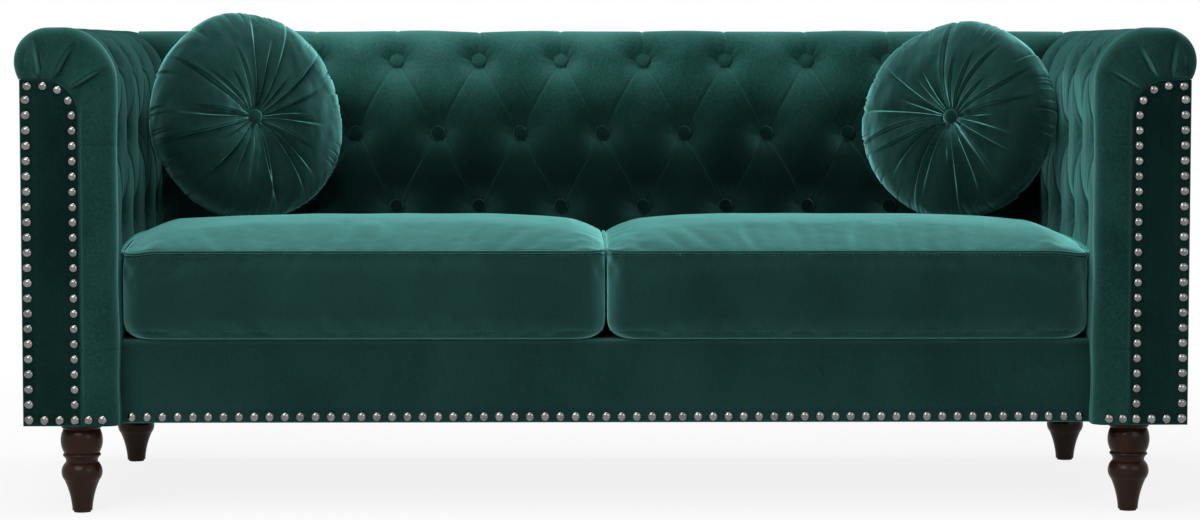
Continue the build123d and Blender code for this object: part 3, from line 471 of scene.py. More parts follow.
def island_centres(mesh):
    """Middle of each separate solid of a CAD mesh."""
    parent = list(range(len(mesh.vertices)))

    def root(i):
        while parent[i] != i:
            parent[i] = parent[parent[i]]
            i = parent[i]
        return i

    places = {}
    for i, v in enumerate(mesh.vertices):
        key = tuple(round(c, 6) for c in v.co)
        parent[i] = root(places.setdefault(key, i))
    for edge in mesh.edges:
        parent[root(edge.vertices[0])] = root(edge.vertices[1])
    groups = {}
    for i, v in enumerate(mesh.vertices):
        groups.setdefault(root(i), []).append(tuple(v.co))
    return [(np.min(group, axis=0) + np.max(group, axis=0)) / 2 for group in groups.values()]


def button_grid(radius, rise, rings=9, around=24):
    """A domed, covered button on the XY plane, from its middle out and under."""
    turn = np.linspace(0.02, math.pi * 0.62, rings)[:, None]
    angle = np.linspace(0, 2 * math.pi, around, endpoint=False)[None, :]
    out = radius * np.sin(turn)
    points = [out * np.cos(angle), out * np.sin(angle), rise * np.cos(turn) * np.ones_like(angle)]
    return np.stack(points, axis=-1)


def buttons_from_cad(name, node, radius, rise, facing, sink=0.0):
    """Covered buttons where the CAD buttons sit, drawn in by sink. facing(place) gives the way one faces."""
    shape = button_grid(radius, rise)
    shape_faces = grid_faces(*shape.shape[:2], closed_v=True)
    points, faces = [], []
    for i, place in enumerate(island_centres(nodes[node].data)):
        way = Vector(facing(place)).normalized()
        turn = np.array(way.to_track_quat("Z", "Y").to_matrix())
        points.append(shape.reshape(-1, 3) @ turn.T + place - sink * np.array(way))
        faces.append(shape_faces + i * shape.shape[0] * shape.shape[1])
    obj = mesh_object(name, np.vstack(points), np.vstack(faces))
    face_outward(obj)
    return obj


# Back

BACK_STEP = 0.0023
BACK_COLUMNS = 1001
BACK_RIPPLE = 0.0012


def back_profile(step):
    """(y, z) points of the back from the deck up the front, over the top and down to the outside cover."""
    lean = math.degrees(BACK_LEAN)
    run = TOP - BACK_TOP_R + BACK_TOP_R * math.sin(BACK_LEAN) - DECK
    front_y = BACK_FOOT_Y + run * math.tan(BACK_LEAN) + BACK_TOP_R * math.cos(BACK_LEAN)
    rear_c = (REAR - BACK_REAR_R, TOP - BACK_REAR_R)
    front_arc = arc_points((front_y, TOP - BACK_TOP_R), BACK_TOP_R, 180 - lean, 90, step)
    return join_paths(
        line_points((BACK_FOOT_Y, DECK), tuple(front_arc[0]), step),
        front_arc,
        line_points(tuple(front_arc[-1]), (rear_c[0], TOP), step),
        arc_points(rear_c, BACK_REAR_R, 90, 0, step),
        line_points((REAR, rear_c[1]), (REAR, FACING_TOP), step),
    )


def lap_over_arm(z):
    """How far the back reaches past the arm's inner face at a height, over the arm's shoulder."""
    rise = np.clip(z - (TOP - SHOULDER_R), 0, SHOULDER_R)
    return np.minimum(SHOULDER_R - np.sqrt(SHOULDER_R**2 - rise**2), BACK_LAP)


def make_back():
    profile = back_profile(BACK_STEP)
    length = path_length(profile)
    edge = ARM_IN - 0.0003
    along, up = np.meshgrid(np.linspace(-edge, edge, BACK_COLUMNS), length, indexing="ij")
    y = np.broadcast_to(profile[None, :, 0], along.shape)
    z = np.broadcast_to(profile[None, :, 1], along.shape)
    x = along + np.sign(along) * lap_over_arm(z) * smoothstep(0.9, 1.0, np.abs(along) / edge)
    points = np.stack([x, y, z], axis=-1)
    normals = grid_normals(points)
    tufts = rows_on(profile, length, BACK_FIRST, BACK_PITCH)
    height = tuft_height(along, up, tufts, BACK_PUFF, BACK_DIMPLE, BACK_DIMPLE_R, length[-1])
    height += BACK_RIPPLE * wave_noise(along, up, 4, 0.16)
    height *= 1 - smoothstep(length[-1] - 0.03, length[-1], up)
    points += normals * height[..., None]
    tuck = np.array([0.003, 0.0, 0.0]) - 0.02 * normals[-1]
    ends = [points[:1] + tuck * np.array([-1, 1, 1]), points, points[-1:] + tuck]
    return grid_object("tufted_back", np.concatenate(ends))


def back_facing(place):
    return (0, -math.cos(BACK_LEAN), math.sin(BACK_LEAN))


# The back and its buttons wear that copy, with painted shade below and painted light towards the top.
back = make_back()
velvet_piece(back, "frame", "back_cover", "back_foam", material=VELVET_BACK_PAINTED_SHADING)
back_buttons = buttons_from_cad(
    "back_tuft_buttons", "back_buttons", BUTTON_R, BUTTON_RISE, back_facing, BUTTON_SINK
)
velvet_piece(back_buttons, "frame", "back_buttons", material=VELVET_BACK_PAINTED_SHADING)


# Arms

FACING_CORNER = (FACING_IN + FACING_CORNER_R, FACING_TOP - FACING_CORNER_R)
FRONT_PLEATS = ((84, 0.0200, -0.2), (107, 0.0230, 1), (137, 0.0200, 1))  # angle round the corner, depth, lean
FRONT_PLEAT_WIDTH = 0.014
FRONT_PLEAT_SOFT = 0.0042
FRONT_PLEAT_FADE = (0.095, 0.135)
FOLD_RIDGE = 0.45
BAND_PUFF = 0.0055
BAND_SEAMS = (0.616, 0.277)
BAND_SEAM_DEPTH = 0.0026
BAND_SEAM_R = 0.0024
ARM_STEP = 0.0027
ARM_RIPPLE = 0.0011
BAND_RINGS = 24
ROUND_RINGS = 12
LENGTH_RINGS = 250
TAIL_RINGS = 6
END_RINGS = 5


def arm_curve(step):
    """(x, z) points of the right arm from the foot of its inside face over the roll, and their normals."""
    shoulder = (ARM_IN + SHOULDER_R, TOP - SHOULDER_R)
    roll = (ROLL_OUT - ROLL_R, TOP - ROLL_R)
    roll_end = -math.degrees(math.asin((roll[1] - FACING_TOP) / ROLL_R))
    points = join_paths(
        line_points((ARM_IN, BASE), (ARM_IN, shoulder[1]), step),
        arc_points(shoulder, SHOULDER_R, 180, 90, step),
        line_points((shoulder[0], TOP), (roll[0], TOP), step),
        arc_points(roll, ROLL_R, 90, roll_end, step),
    )
    tangent = unit(np.gradient(points, axis=0))
    return points, np.stack([-tangent[:, 1], tangent[:, 0]], axis=1)


def facing_edge(curve, length):
    """The facing's edge beside each point of the arm's curve, as (x, z), and its corner's start and end."""
    crest = np.argmax(curve[:, 1])
    turn_start = np.interp(FACING_CORNER[1], curve[:crest, 1], length[:crest])
    turn_end = length[np.argmax(curve[:, 1] > TOP - 1e-6)]
    turn = np.radians(180 - 90 * np.clip((length - turn_start) / (turn_end - turn_start), 0, 1))
    x = FACING_CORNER[0] + FACING_CORNER_R * np.cos(turn)
    z = FACING_CORNER[1] + FACING_CORNER_R * np.sin(turn)
    share = np.clip((length - turn_end) / (length[-1] - turn_end), 0, 1)
    x += share * (ARM_OUT - FACING_CORNER[0])
    z = np.where(length <= turn_start, curve[:, 1], z)
    return np.stack([x, z], axis=1), turn_start, turn_end


def fold(distance, width, soft=0.0030):
    """Profile of a pressed fold: a raised edge, a step down to its foot at 1, and a slow rise after it."""
    after = np.exp(-np.maximum(distance, 0) / width)
    before = -FOLD_RIDGE * np.exp(np.minimum(distance, 0) / (0.5 * width))
    soft = np.minimum(soft, 0.35 * width)
    share = smoothstep(-soft, soft, distance)
    return after * share + before * (1 - share)


def arm_rings(curve, normals, edge):
    """Rings of points from the facing's edge over the rounded front and along the arm to its rear end."""
    inset = curve - normals * FRONT_ROUND
    above_nails = smoothstep(BASE + 0.025, BASE + 0.07, curve[:, 1])
    rings = []

    def ring(flat, y):
        rings.append(np.column_stack([flat[:, 0], np.broadcast_to(y, len(flat)), flat[:, 1]]))

    for t in np.linspace(0, 1, BAND_RINGS):
        puff = BAND_PUFF * math.sin(math.pi * (0.12 + 0.78 * t)) ** 0.6 * above_nails
        ring(edge * (1 - t) + inset * t, FRONT + 0.005 * (1 - smoothstep(0, 0.2, t)) - puff)
    cap = len(rings)
    soften = 0.0020 * above_nails
    for turn in np.radians(np.linspace(0, 90, ROUND_RINGS + 1))[1:]:
        y = FRONT - soften * math.cos(turn) + FRONT_ROUND * (1 - math.cos(turn))
        ring(inset + normals * FRONT_ROUND * math.sin(turn), y)
    under_deck = (curve[:, 1] < DECK - 0.001) & (curve[:, 0] < ARM_IN + 0.001)
    start = FRONT + FRONT_ROUND
    end = np.where(under_deck, APRON_REAR - 0.002, REAR - TAIL_GAP - TAIL_ROUND)
    for t in np.linspace(0, 1, LENGTH_RINGS + 1)[1:]:
        ring(curve, start + (end - start) * t)
    for turn in np.radians(np.linspace(0, 90, TAIL_RINGS + 1))[1:]:
        ring(curve - normals * TAIL_ROUND * (1 - math.cos(turn)), end + TAIL_ROUND * math.sin(turn))
    for t in np.linspace(0, 1, END_RINGS + 1)[1:]:
        ring((curve - normals * TAIL_ROUND) * (1 - t) + edge * t, end + TAIL_ROUND)
    return np.stack(rings, axis=1), cap


def front_pleat_height(points):
    """Folds that fan out from the rounded corner of the facing over the front of the roll."""
    x = points[..., 0] - FACING_CORNER[0]
    z = points[..., 2] - FACING_CORNER[1]
    r = np.hypot(x, z)
    angle = np.arctan2(z, x)
    height = np.zeros(r.shape)
    for degrees, depth, lean in FRONT_PLEATS:
        sway = 0.10 * (r - FACING_CORNER_R) / 0.06 * lean
        away = (angle - math.radians(degrees) - sway) * r
        reach = 1 - smoothstep(*FRONT_PLEAT_FADE, r)
        height -= depth * fold(away, FRONT_PLEAT_WIDTH, FRONT_PLEAT_SOFT) * reach
    return height


def make_arm():
    """Points of the right arm, and how many of its rings make up the front band."""
    curve, normals = arm_curve(ARM_STEP)
    length = path_length(curve)
    edge, turn_start, turn_end = facing_edge(curve, length)
    points, cap = arm_rings(curve, normals, edge)
    band_end = cap + ROUND_RINGS
    along = points[..., 1].copy()
    up = np.repeat(length[:, None], points.shape[1], axis=1)
    steps = np.arange(points.shape[1])[None, :] * np.ones_like(up)

    tufts = rows_on(curve, length, ARM_FIRST, ARM_PITCH)
    side = tuft_height(along, up, tufts, ARM_PUFF, ARM_DIMPLE, ARM_DIMPLE_R, length[-1])
    before_rear = smoothstep(REAR - 0.02, REAR - 0.06, along)
    side *= smoothstep(band_end, band_end + 14, steps) * before_rear
    inside = up < turn_end
    side *= np.where(inside, smoothstep(DECK - 0.02, DECK + 0.03, points[..., 2]), 1.0)

    on_front = 1 - smoothstep(cap + 2, cap + 11, steps)
    front = front_pleat_height(points) * smoothstep(0, 5, steps)
    for z in BAND_SEAMS:
        seam = np.exp(-(((points[..., 2] - z) / BAND_SEAM_R) ** 2))
        front -= BAND_SEAM_DEPTH * seam * (up < turn_start)
    ripple = ARM_RIPPLE * wave_noise(points[..., 0] + along, up, 11, 0.13) * smoothstep(2, 8, steps)
    ripple *= smoothstep(BASE, BASE + 0.05, points[..., 2]) * before_rear
    height = side + front * on_front + ripple
    outward = grid_normals(points)
    return points + outward * height[..., None], band_end


def paint_band(obj, across, count):
    """Gives an arm's front band, the first count of the faces across its grid, its own velvet: painted light.
    """
    obj.data.materials.append(VELVET_BAND_PAINTED_LIGHT)
    band = (np.arange(len(obj.data.polygons)) % across < count).astype(np.int32)
    obj.data.polygons.foreach_set("material_index", band)
    obj.data.update()


def arm_facing_way(sign):
    """The way a button on an arm faces, on the right (1) or the left (-1)."""

    def facing(place):
        rise = np.clip((place[2] - (TOP - SHOULDER_R)) / SHOULDER_R, 0, 1)
        return (-sign * math.sqrt(1 - rise**2), 0, rise)

    return facing


arm_points, band_count = make_arm()
# Each arm wears its painted-shade copy of the velvet, and its front band the painted-light copy.
for side, sign in (("right", 1), ("left", -1)):
    arm = grid_object(side + "_tufted_arm", arm_points if sign > 0 else mirrored(arm_points))
    velvet_piece(arm, "frame", side + "_arm_cover", side + "_arm_foam", material=ARM_VELVETS_PAINTED_SHADE[side])
    paint_band(arm, arm_points.shape[1] - 1, band_count)
    way = arm_facing_way(sign)
    studs = buttons_from_cad(side + "_arm_tuft_buttons", side + "_arm_buttons", BUTTON_R, BUTTON_RISE, way)
    velvet_piece(studs, "frame", side + "_arm_buttons", material=ARM_VELVETS_PAINTED_SHADE[side])


# Facings and apron

FACING_GAP = 0.0008
FACING_EDGE_R = 0.0045
FACING_EDGE_DEPTH = 0.0035
FACING_PUFF = 0.0038
APRON_FOOT_R = 0.004
APRON_BROW_R = 0.013
APRON_BOW = 0.0045


def facing_grid():
    """The right facing: a flat padded panel with a rounded inner corner and turned-back edges."""
    corner_r = FACING_CORNER_R - FACING_GAP
    side = np.linspace(BASE, FACING_CORNER[1], 180)[:-1]
    corner = FACING_CORNER[1] + corner_r * np.sin(np.linspace(0, math.pi / 2, 40))
    z = np.concatenate([side, corner])
    rise = np.clip((z - FACING_CORNER[1]) / corner_r, 0, 1)
    inner = FACING_CORNER[0] - corner_r * np.sqrt(1 - rise**2)
    u = np.linspace(0, 1, 46)
    x = inner[:, None] + (ARM_OUT - inner[:, None]) * u[None, :]
    zz = np.repeat(z[:, None], len(u), axis=1)
    in_corner = (x < FACING_CORNER[0]) & (zz > FACING_CORNER[1])
    round_gap = corner_r - np.hypot(x - FACING_CORNER[0], zz - FACING_CORNER[1])
    side_gap = np.where(in_corner, round_gap, x - FACING_IN - FACING_GAP)
    top_gap = np.where(in_corner, round_gap, FACING_TOP - FACING_GAP - zz)
    inward = np.minimum(np.minimum(side_gap, ARM_OUT - x), np.minimum(top_gap, zz - BASE))
    inward = np.maximum(inward, 0)
    turned = 1 - np.sqrt(np.clip(1 - (1 - inward / FACING_EDGE_R) ** 2, 0, 1))
    y = FRONT + FACING_EDGE_DEPTH * turned * (inward < FACING_EDGE_R)
    y -= FACING_PUFF * smoothstep(0.017, 0.034, inward)
    y += 0.0006 * wave_noise(x, zz, 17, 0.09) * smoothstep(0.016, 0.03, inward)
    grid = np.stack([x, y, zz], axis=-1)
    padded = np.pad(grid, ((1, 1), (1, 1), (0, 0)), mode="edge")
    for rim in (padded[0], padded[-1], padded[:, 0], padded[:, -1]):
        rim[..., 1] = FRAME_FRONT
    return padded


facing_points = facing_grid()
# The facing panels wear the painted-shade copy of the velvet.
for side in ("right", "left"):
    panel = grid_object(side + "_facing_panel", facing_points if side == "right" else mirrored(facing_points))
    face_outward(panel)
    velvet_piece(panel, "frame", side + "_arm_facing", material=VELVET_FACING_PAINTED_SHADE)


def make_apron():
    """The padded front of the seat base, flat along its nails and bowed above them."""
    x = np.linspace(-ARM_IN - 0.004, ARM_IN + 0.004, 521)
    foot = (APRON_FRONT + APRON_FOOT_R, BASE + APRON_FOOT_R)
    brow = (APRON_FRONT + APRON_BROW_R, APRON_TOP - APRON_BROW_R)
    section = join_paths(
        line_points((APRON_REAR, BASE), (foot[0], BASE), 0.002),
        arc_points(foot, APRON_FOOT_R, 270, 180, 0.001),
        line_points((APRON_FRONT, foot[1]), (APRON_FRONT, brow[1]), 0.004),
        arc_points(brow, APRON_BROW_R, 180, 90, 0.0015),
    )
    points = np.empty((len(x), len(section), 3))
    points[..., 0] = x[:, None]
    points[..., 1] = section[None, :, 0]
    points[..., 2] = section[None, :, 1]
    share = (section[:, 1] - BASE) / (APRON_TOP - BASE)
    bow = np.sin(np.pi * np.clip((share - 0.17) / 0.82, 0, 1)) ** 0.7
    ripple = 0.0013 * wave_noise(x[:, None], section[None, :, 1], 21, 0.2)
    pucker = 0.0009 * wave_noise(x[:, None], 0.4 * section[None, :, 1], 23, 0.055)
    points[..., 1] -= bow[None, :] * (APRON_BOW + ripple + pucker * share[None, :])
    return grid_object("padded_apron", points)


apron = make_apron()
velvet_piece(apron, "frame", "apron_cover")


# Seat cushions

CUSHION_EDGE = 0.146
CUSHION_CROWN = 0.050
# How the crown eases to an end: from how far in, how full its rise is, and the crown at the very end
INNER_EASE = (0.23, 0.65, 0.024)
OUTER_EASE = {"left": (0.36, 0.75, 0.030), "right": (0.30, 0.80, 0.021)}
TOP_FULLNESS = 0.75
# How far the top seam drops at an end, and from how far in
INNER_DROP = (0.003, 0.03)
OUTER_DROP = (0.007, 0.06)
CUSHION_BOW = 0.008
CUSHION_CELL = 0.010
CUSHION_CORNER = 0.032
LIP_R = 0.0065
END_LIP_R = 0.032
LIP_LEVELS = 4
LOWER_SEAM = 0.0140
SEAM_HALF = 0.0018
SEAM_DEPTH = 0.0022
WELT_R = 0.0026
WELT_OUT = 0.0016
CLOTH_PUFF = 0.010
CLOTH_PRESSURE = 4.0
CLOTH_SLACK = 0.012
CLOTH_FRAMES = 20


def cushion_levels():
    """(height, inset) of a cushion's border by level: rounded lip, lower seam's groove, upper part."""
    turn = np.linspace(0, math.pi / 2, LIP_LEVELS + 1)
    lip = np.stack([LIP_R * (1 - np.cos(turn)), LIP_R * (1 - np.sin(turn))], axis=1)
    foot = LOWER_SEAM + SEAM_HALF
    groove = [(LOWER_SEAM - SEAM_HALF, 0.0), (LOWER_SEAM, SEAM_DEPTH), (foot, 0.0)]
    rise = np.linspace(foot, CUSHION_EDGE, round((CUSHION_EDGE - foot) / CUSHION_CELL) + 1)[1:]
    return np.vstack([lip, groove, np.stack([rise, np.zeros_like(rise)], axis=1)])


def cushion_mesh(width, depth, levels):
    """Grid places (i, j, level) and quads of a closed cushion: top panel, border and bottom panel."""
    nx, ny, nz = round(width / CUSHION_CELL), round(depth / CUSHION_CELL), len(levels) - 1
    index = {}

    def vertex(*key):
        return index.setdefault(key, len(index))

    faces = []
    for i in range(nx):
        for j in range(ny):
            faces.append([vertex(*c, nz) for c in ((i, j), (i + 1, j), (i + 1, j + 1), (i, j + 1))])
            faces.append([vertex(*c, 0) for c in ((i, j), (i, j + 1), (i + 1, j + 1), (i + 1, j))])
    border = [(i, 0) for i in range(nx)] + [(nx, j) for j in range(ny)]
    border += [(i, ny) for i in range(nx, 0, -1)] + [(0, j) for j in range(ny, 0, -1)]
    for k in range(nz):
        for here, ahead in zip(border, border[1:] + border[:1]):
            faces.append([vertex(*here, k), vertex(*ahead, k), vertex(*ahead, k + 1), vertex(*here, k + 1)])
    places = np.array(list(index))
    return places, faces, (nx, ny, nz), border


def crown_at(inner_reach, outer_reach, outer_ease):
    """Crown of a cushion over its seams, eased towards its ends."""
    crowns = []
    for reach, (limit, fullness, end_crown) in ((inner_reach, INNER_EASE), (outer_reach, outer_ease)):
        rise = (1 - (1 - np.clip(reach / limit, 0, 1)) ** 2) ** fullness
        crowns.append(end_crown + (CUSHION_CROWN - end_crown) * rise)
    return np.minimum(*crowns)


def end_drop(reach, drop, limit):
    """How far the top seam lies low near an end."""
    return drop * (1 - smoothstep(0.0, limit, reach))


def shape_cushion(places, counts, levels, low, high, outer_ease, crown_loss):
    """Points of a cushion: rounded corners in plan, a crowned top, a bowed front and a soft lower lip."""
    nx, ny, nz = counts
    u, v, k = places[:, 0] / nx, places[:, 1] / ny, places[:, 2]
    size = np.array([high.x - low.x, high.y - low.y - CUSHION_BOW])
    middle = np.array([(low.x + high.x) / 2, low.y + CUSHION_BOW + size[1] / 2])
    flat = (np.stack([u, v], axis=1) - 0.5) * size
    out = np.maximum(np.abs(flat) - (size / 2 - CUSHION_CORNER), 0)
    reach = np.maximum(np.hypot(*out.T), 1e-9)
    flat -= np.sign(flat) * out * (1 - np.max(out, axis=1) / reach)[:, None]
    end_lip = END_LIP_R * (1 - np.sqrt(1 - np.clip(1 - levels[k, 0] / END_LIP_R, 0, 1) ** 2))
    flat *= 1 - 2 * np.stack([end_lip, levels[k, 1]], axis=1) / size
    x, y = (flat + middle).T

    inner_reach = np.abs(x) - min(abs(low.x), abs(high.x))
    outer_reach = max(abs(low.x), abs(high.x)) - np.abs(x)
    seam_drop = end_drop(outer_reach, *OUTER_DROP) + end_drop(inner_reach, *INNER_DROP)
    height = levels[k, 0] * (1 - seam_drop / CUSHION_EDGE)
    w = 2 * np.clip((y - low.y - CUSHION_BOW) / size[1], 0, 1) - 1
    crown = crown_at(inner_reach, outer_reach, outer_ease) * (1 - crown_loss / CUSHION_CROWN)
    rise = crown * (1 - w**2) ** TOP_FULLNESS
    z = low.z + height + np.where(k == nz, rise, 0)
    mid = np.clip((levels[k, 0] - LIP_R) / (CUSHION_EDGE - LIP_R), 0, 1)
    belly = CUSHION_BOW * (1 - (2 * mid - 1) ** 2) * np.sin(np.pi * np.clip(u, 0, 1)) ** 0.3
    y = np.where(v < 1e-6, y - belly, y)
    return np.column_stack([x, y, z])


def simulate(obj, pinned):
    """Puffs a cushion as cloth round its sewn seams, and keeps each point near where it was."""
    scene = bpy.context.scene
    start = np.array([tuple(v.co) for v in obj.data.vertices])
    group = obj.vertex_groups.new(name="seams")
    group.add([int(i) for i in pinned], 1.0, "REPLACE")
    cloth = obj.modifiers.new("cloth", "CLOTH")
    settings = cloth.settings
    settings.quality = 6
    settings.mass = 0.25
    settings.tension_stiffness = 18
    settings.compression_stiffness = 18
    settings.shear_stiffness = 8
    settings.bending_stiffness = 0.8
    settings.use_pressure = True
    settings.uniform_pressure_force = CLOTH_PRESSURE
    settings.shrink_min = -CLOTH_SLACK
    settings.vertex_group_mass = "seams"
    settings.effector_weights.gravity = 0
    cloth.collision_settings.use_collision = False
    cloth.point_cache.frame_start = 1
    cloth.point_cache.frame_end = CLOTH_FRAMES
    for number in range(1, CLOTH_FRAMES + 1):
        scene.frame_set(number)
    settled = obj.evaluated_get(bpy.context.evaluated_depsgraph_get()).data
    end = np.array([tuple(v.co) for v in settled.vertices])
    obj.modifiers.remove(cloth)
    obj.vertex_groups.clear()
    scene.frame_set(1)
    move = end - start
    far = np.linalg.norm(move, axis=1, keepdims=True)
    return start + move * np.minimum(1, CLOTH_PUFF / np.maximum(far, 1e-9))


def resampled(path, pitch):
    """Evenly spaced points on a closed loop of points."""
    loop = np.vstack([path, path[:1]])
    length = path_length(loop)
    at = np.arange(0, length[-1], length[-1] / round(length[-1] / pitch))
    return np.stack([np.interp(at, length, loop[:, i]) for i in range(3)], axis=1)


def along_loop(path):
    """Unit directions on a closed loop of points: ahead, and level across it."""
    ahead = unit(np.roll(path, -1, axis=0) - np.roll(path, 1, axis=0))
    return ahead, unit(np.cross(ahead, (0.0, 0.0, 1.0)))


def stitch_row(name, path, middle):
    """Short raised stitches along a closed loop of points round a middle."""
    pitch, length, radius = 0.0072, 0.0046, 0.0013
    places = resampled(path, pitch)
    ahead, out = along_loop(places)
    out *= np.sign(np.sum(out * (places - middle), axis=1, keepdims=True))
    turn = np.linspace(0, 2 * math.pi, 6, endpoint=False)
    ring = np.cos(turn)[:, None, None] * out + np.sin(turn)[:, None, None] * np.array([0.0, 0.0, 1.0])
    stations = [(-0.5, 0.25), (-0.28, 1.0), (0.28, 1.0), (0.5, 0.25)]
    points = [places + length * s * ahead + radius * r * ring for s, r in stations]
    grid = np.stack(points).transpose(2, 0, 1, 3)
    one = grid_faces(len(stations), len(turn), closed_v=True)
    per = len(stations) * len(turn)
    faces = np.vstack([one + i * per for i in range(len(places))])
    return mesh_object(name, grid.reshape(-1, 3), faces)


def welt(name, path, radius, sides=8):
    """A closed round seam along a loop of points."""
    ahead, side = along_loop(path)
    rise = np.cross(side, ahead)
    turn = np.linspace(0, 2 * math.pi, sides, endpoint=False)[None, :, None]
    ring = path[:, None, :] + radius * (np.cos(turn) * side[:, None] + np.sin(turn) * rise[:, None])
    return grid_object(name, ring, closed_u=True, closed_v=True)


def corner_gathers(points, low, high, edge_top):
    """Small creases in the top panel that fan out from its front corners."""
    height = np.zeros(len(points))
    for x, phase in ((low.x, 0.4), (high.x, 1.7)):
        dx, dy = np.abs(points[:, 0] - x), points[:, 1] - low.y
        far = np.hypot(dx, dy)
        turn = np.arctan2(dy, dx)
        fan = np.sin(13 * turn + phase) + 0.6 * np.sin(23 * turn + 2 * phase)
        height += 0.0016 * fan * np.exp(-far / 0.045) * smoothstep(0.004, 0.02, far)
    return height * smoothstep(edge_top - 0.002, edge_top + 0.004, points[:, 2])


def make_cushion(side):
    low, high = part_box(side + "_cushion_cover")
    levels = cushion_levels()
    places, faces, counts, border = cushion_mesh(high.x - low.x, high.y - low.y, levels)
    top_level = counts[2]
    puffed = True
    loss = CLOTH_PUFF if puffed else 0.0
    points = shape_cushion(places, counts, levels, low, high, OUTER_EASE[side], loss)
    obj = mesh_object(side + "_seat_cushion_top", points, faces)
    on_border = set(border)
    at_seam = np.array([(i, j) in on_border and k == top_level for i, j, k in places])
    resting = places[:, 2] <= LIP_LEVELS
    if puffed:
        points = simulate(obj, np.nonzero(at_seam | resting)[0])
    points[:, 0] = np.clip(points[:, 0], low.x + 0.0002, high.x - 0.0002)
    points[:, 1] = np.clip(points[:, 1], low.y - 0.003, high.y)
    edge_top = low.z + CUSHION_EDGE
    on_top = places[:, 2] == top_level
    ripple = 0.0006 * wave_noise(points[:, 0], points[:, 1], 31 if side == "left" else 37, 0.16)
    points[:, 2] += np.where(on_top & ~at_seam, ripple + corner_gathers(points, low, high, edge_top), 0)
    obj.data.vertices.foreach_set("co", points.astype(np.float32).ravel())
    obj.data.update()
    smooth = obj.modifiers.new("smooth", "SUBSURF")
    smooth.levels = 1
    smooth.render_levels = 1
    body = side + "_seat_cushion"
    velvet_piece(obj, body, side + "_cushion_cover", side + "_cushion_foam")

    where = {tuple(p): i for i, p in enumerate(places)}
    middle = np.array([(low.x + high.x) / 2, (low.y + high.y) / 2, 0.0])
    upper = points[[where[i, j, top_level] for i, j in border]]
    lower = points[[where[i, j, LIP_LEVELS + 2] for i, j in border]]
    outward = unit((upper - middle) * np.array([1.0, 1.0, 0.0]))
    velvet_piece(welt(side + "_upper_seam", upper + WELT_OUT * outward, WELT_R), body)
    below = points[[where[i, j, top_level - 1] for i, j in border]]
    velvet_piece(stitch_row(side + "_upper_stitches", below * 0.6 + upper * 0.4, middle), body)
    velvet_piece(stitch_row(side + "_lower_stitches", lower, middle), body)


for side in ("left", "right"):
    make_cushion(side)


# Round pillows

PILLOW_R = 0.1815
PILLOW_HALF = 0.0650
PILLOW_TUFT = 0.0300
PILLOW_TUFT_R = 0.030
PILLOW_PLEATS = 24
PILLOW_GATHERS = 64
PILLOW_AROUND = 560
PILLOW_RINGS = 190
PILLOW_RIPPLE = 0.0030
STUD_R = 0.0140
STUD_RISE = 0.0080


def pillow_profile(count):
    """(radius, height) of a full, round-edged pillow from the middle of its front to that of its rear."""
    turn = np.linspace(math.pi / 2 - 1e-3, -math.pi / 2 + 1e-3, 2000)
    r = PILLOW_R * np.cos(turn) ** (2 / 3.0)
    z = PILLOW_HALF * np.sign(turn) * np.abs(np.sin(turn)) ** (2 / 2.3)
    path = np.stack([r, z], axis=1)
    length = path_length(path)
    at = np.linspace(0.004, length[-1] - 0.004, count)
    return np.stack([np.interp(at, length, path[:, i]) for i in range(2)], axis=1)


def pleat_height(r, theta, rng):
    """Folds gathered into the button, of many lengths."""
    height = np.zeros(np.broadcast(r, theta).shape)
    for i in range(PILLOW_PLEATS):
        angle = 2 * math.pi * (i + rng.uniform(-0.34, 0.34)) / PILLOW_PLEATS
        reach = PILLOW_R * rng.choice([0.55, 0.75, 0.95, 1.1]) * rng.uniform(0.9, 1.08)
        depth = rng.uniform(0.0075, 0.0130)
        sway = rng.uniform(-0.16, 0.16)
        side = rng.choice([-1, 1])
        turn = (theta - angle - sway * (r / PILLOW_R) ** 1.5 + math.pi) % (2 * math.pi) - math.pi
        width = 0.0030 + 0.050 * r
        along = smoothstep(0.010, 0.026, r) * (1 - smoothstep(0.45 * reach, reach, r))
        height -= depth * fold(side * turn * r, width) * along
    return height


def edge_gathers(r, theta, rng):
    """Irregular short creases across the pillow's edge."""
    height = np.zeros(np.broadcast(r, theta).shape)
    for _ in range(PILLOW_GATHERS):
        angle = rng.uniform(0, 2 * math.pi)
        turn = (theta - angle + math.pi) % (2 * math.pi) - math.pi
        width = rng.uniform(0.0025, 0.0050)
        inner = PILLOW_R * rng.uniform(0.72, 0.92)
        height -= rng.uniform(0.0012, 0.0036) * fold(turn * PILLOW_R, width) * smoothstep(inner, PILLOW_R, r)
    return height


def pillow_grid(seed):
    """A round pillow on the Z axis: two pleated faces tufted in the middle, and a gathered edge."""
    rng = np.random.default_rng(seed)
    theta = np.linspace(0, 2 * math.pi, PILLOW_AROUND, endpoint=False)[None, :]
    profile = pillow_profile(PILLOW_RINGS)
    r = profile[:, :1] * np.ones_like(theta)
    z = profile[:, 1:] * np.ones_like(theta)
    points = np.stack([r * np.cos(theta), r * np.sin(theta), z], axis=-1)
    normals = grid_normals(np.concatenate([points[:, -1:], points, points[:, :1]], axis=1))[:, 1:-1]
    front = pleat_height(r, theta, rng)
    rear = pleat_height(r, theta, rng)
    share = smoothstep(-0.012, 0.012, z)
    height = front * share + rear * (1 - share) + edge_gathers(r, theta, rng)
    ripple = wave_noise(points[..., 0], points[..., 1], seed, 0.17)
    height += PILLOW_RIPPLE * ripple * smoothstep(0.03, 0.10, r)
    points += normals * height[..., None]
    tuft = (PILLOW_HALF - PILLOW_TUFT) * np.exp(-((r / PILLOW_TUFT_R) ** 1.4))
    points[..., 2] -= np.sign(z) * tuft
    return points


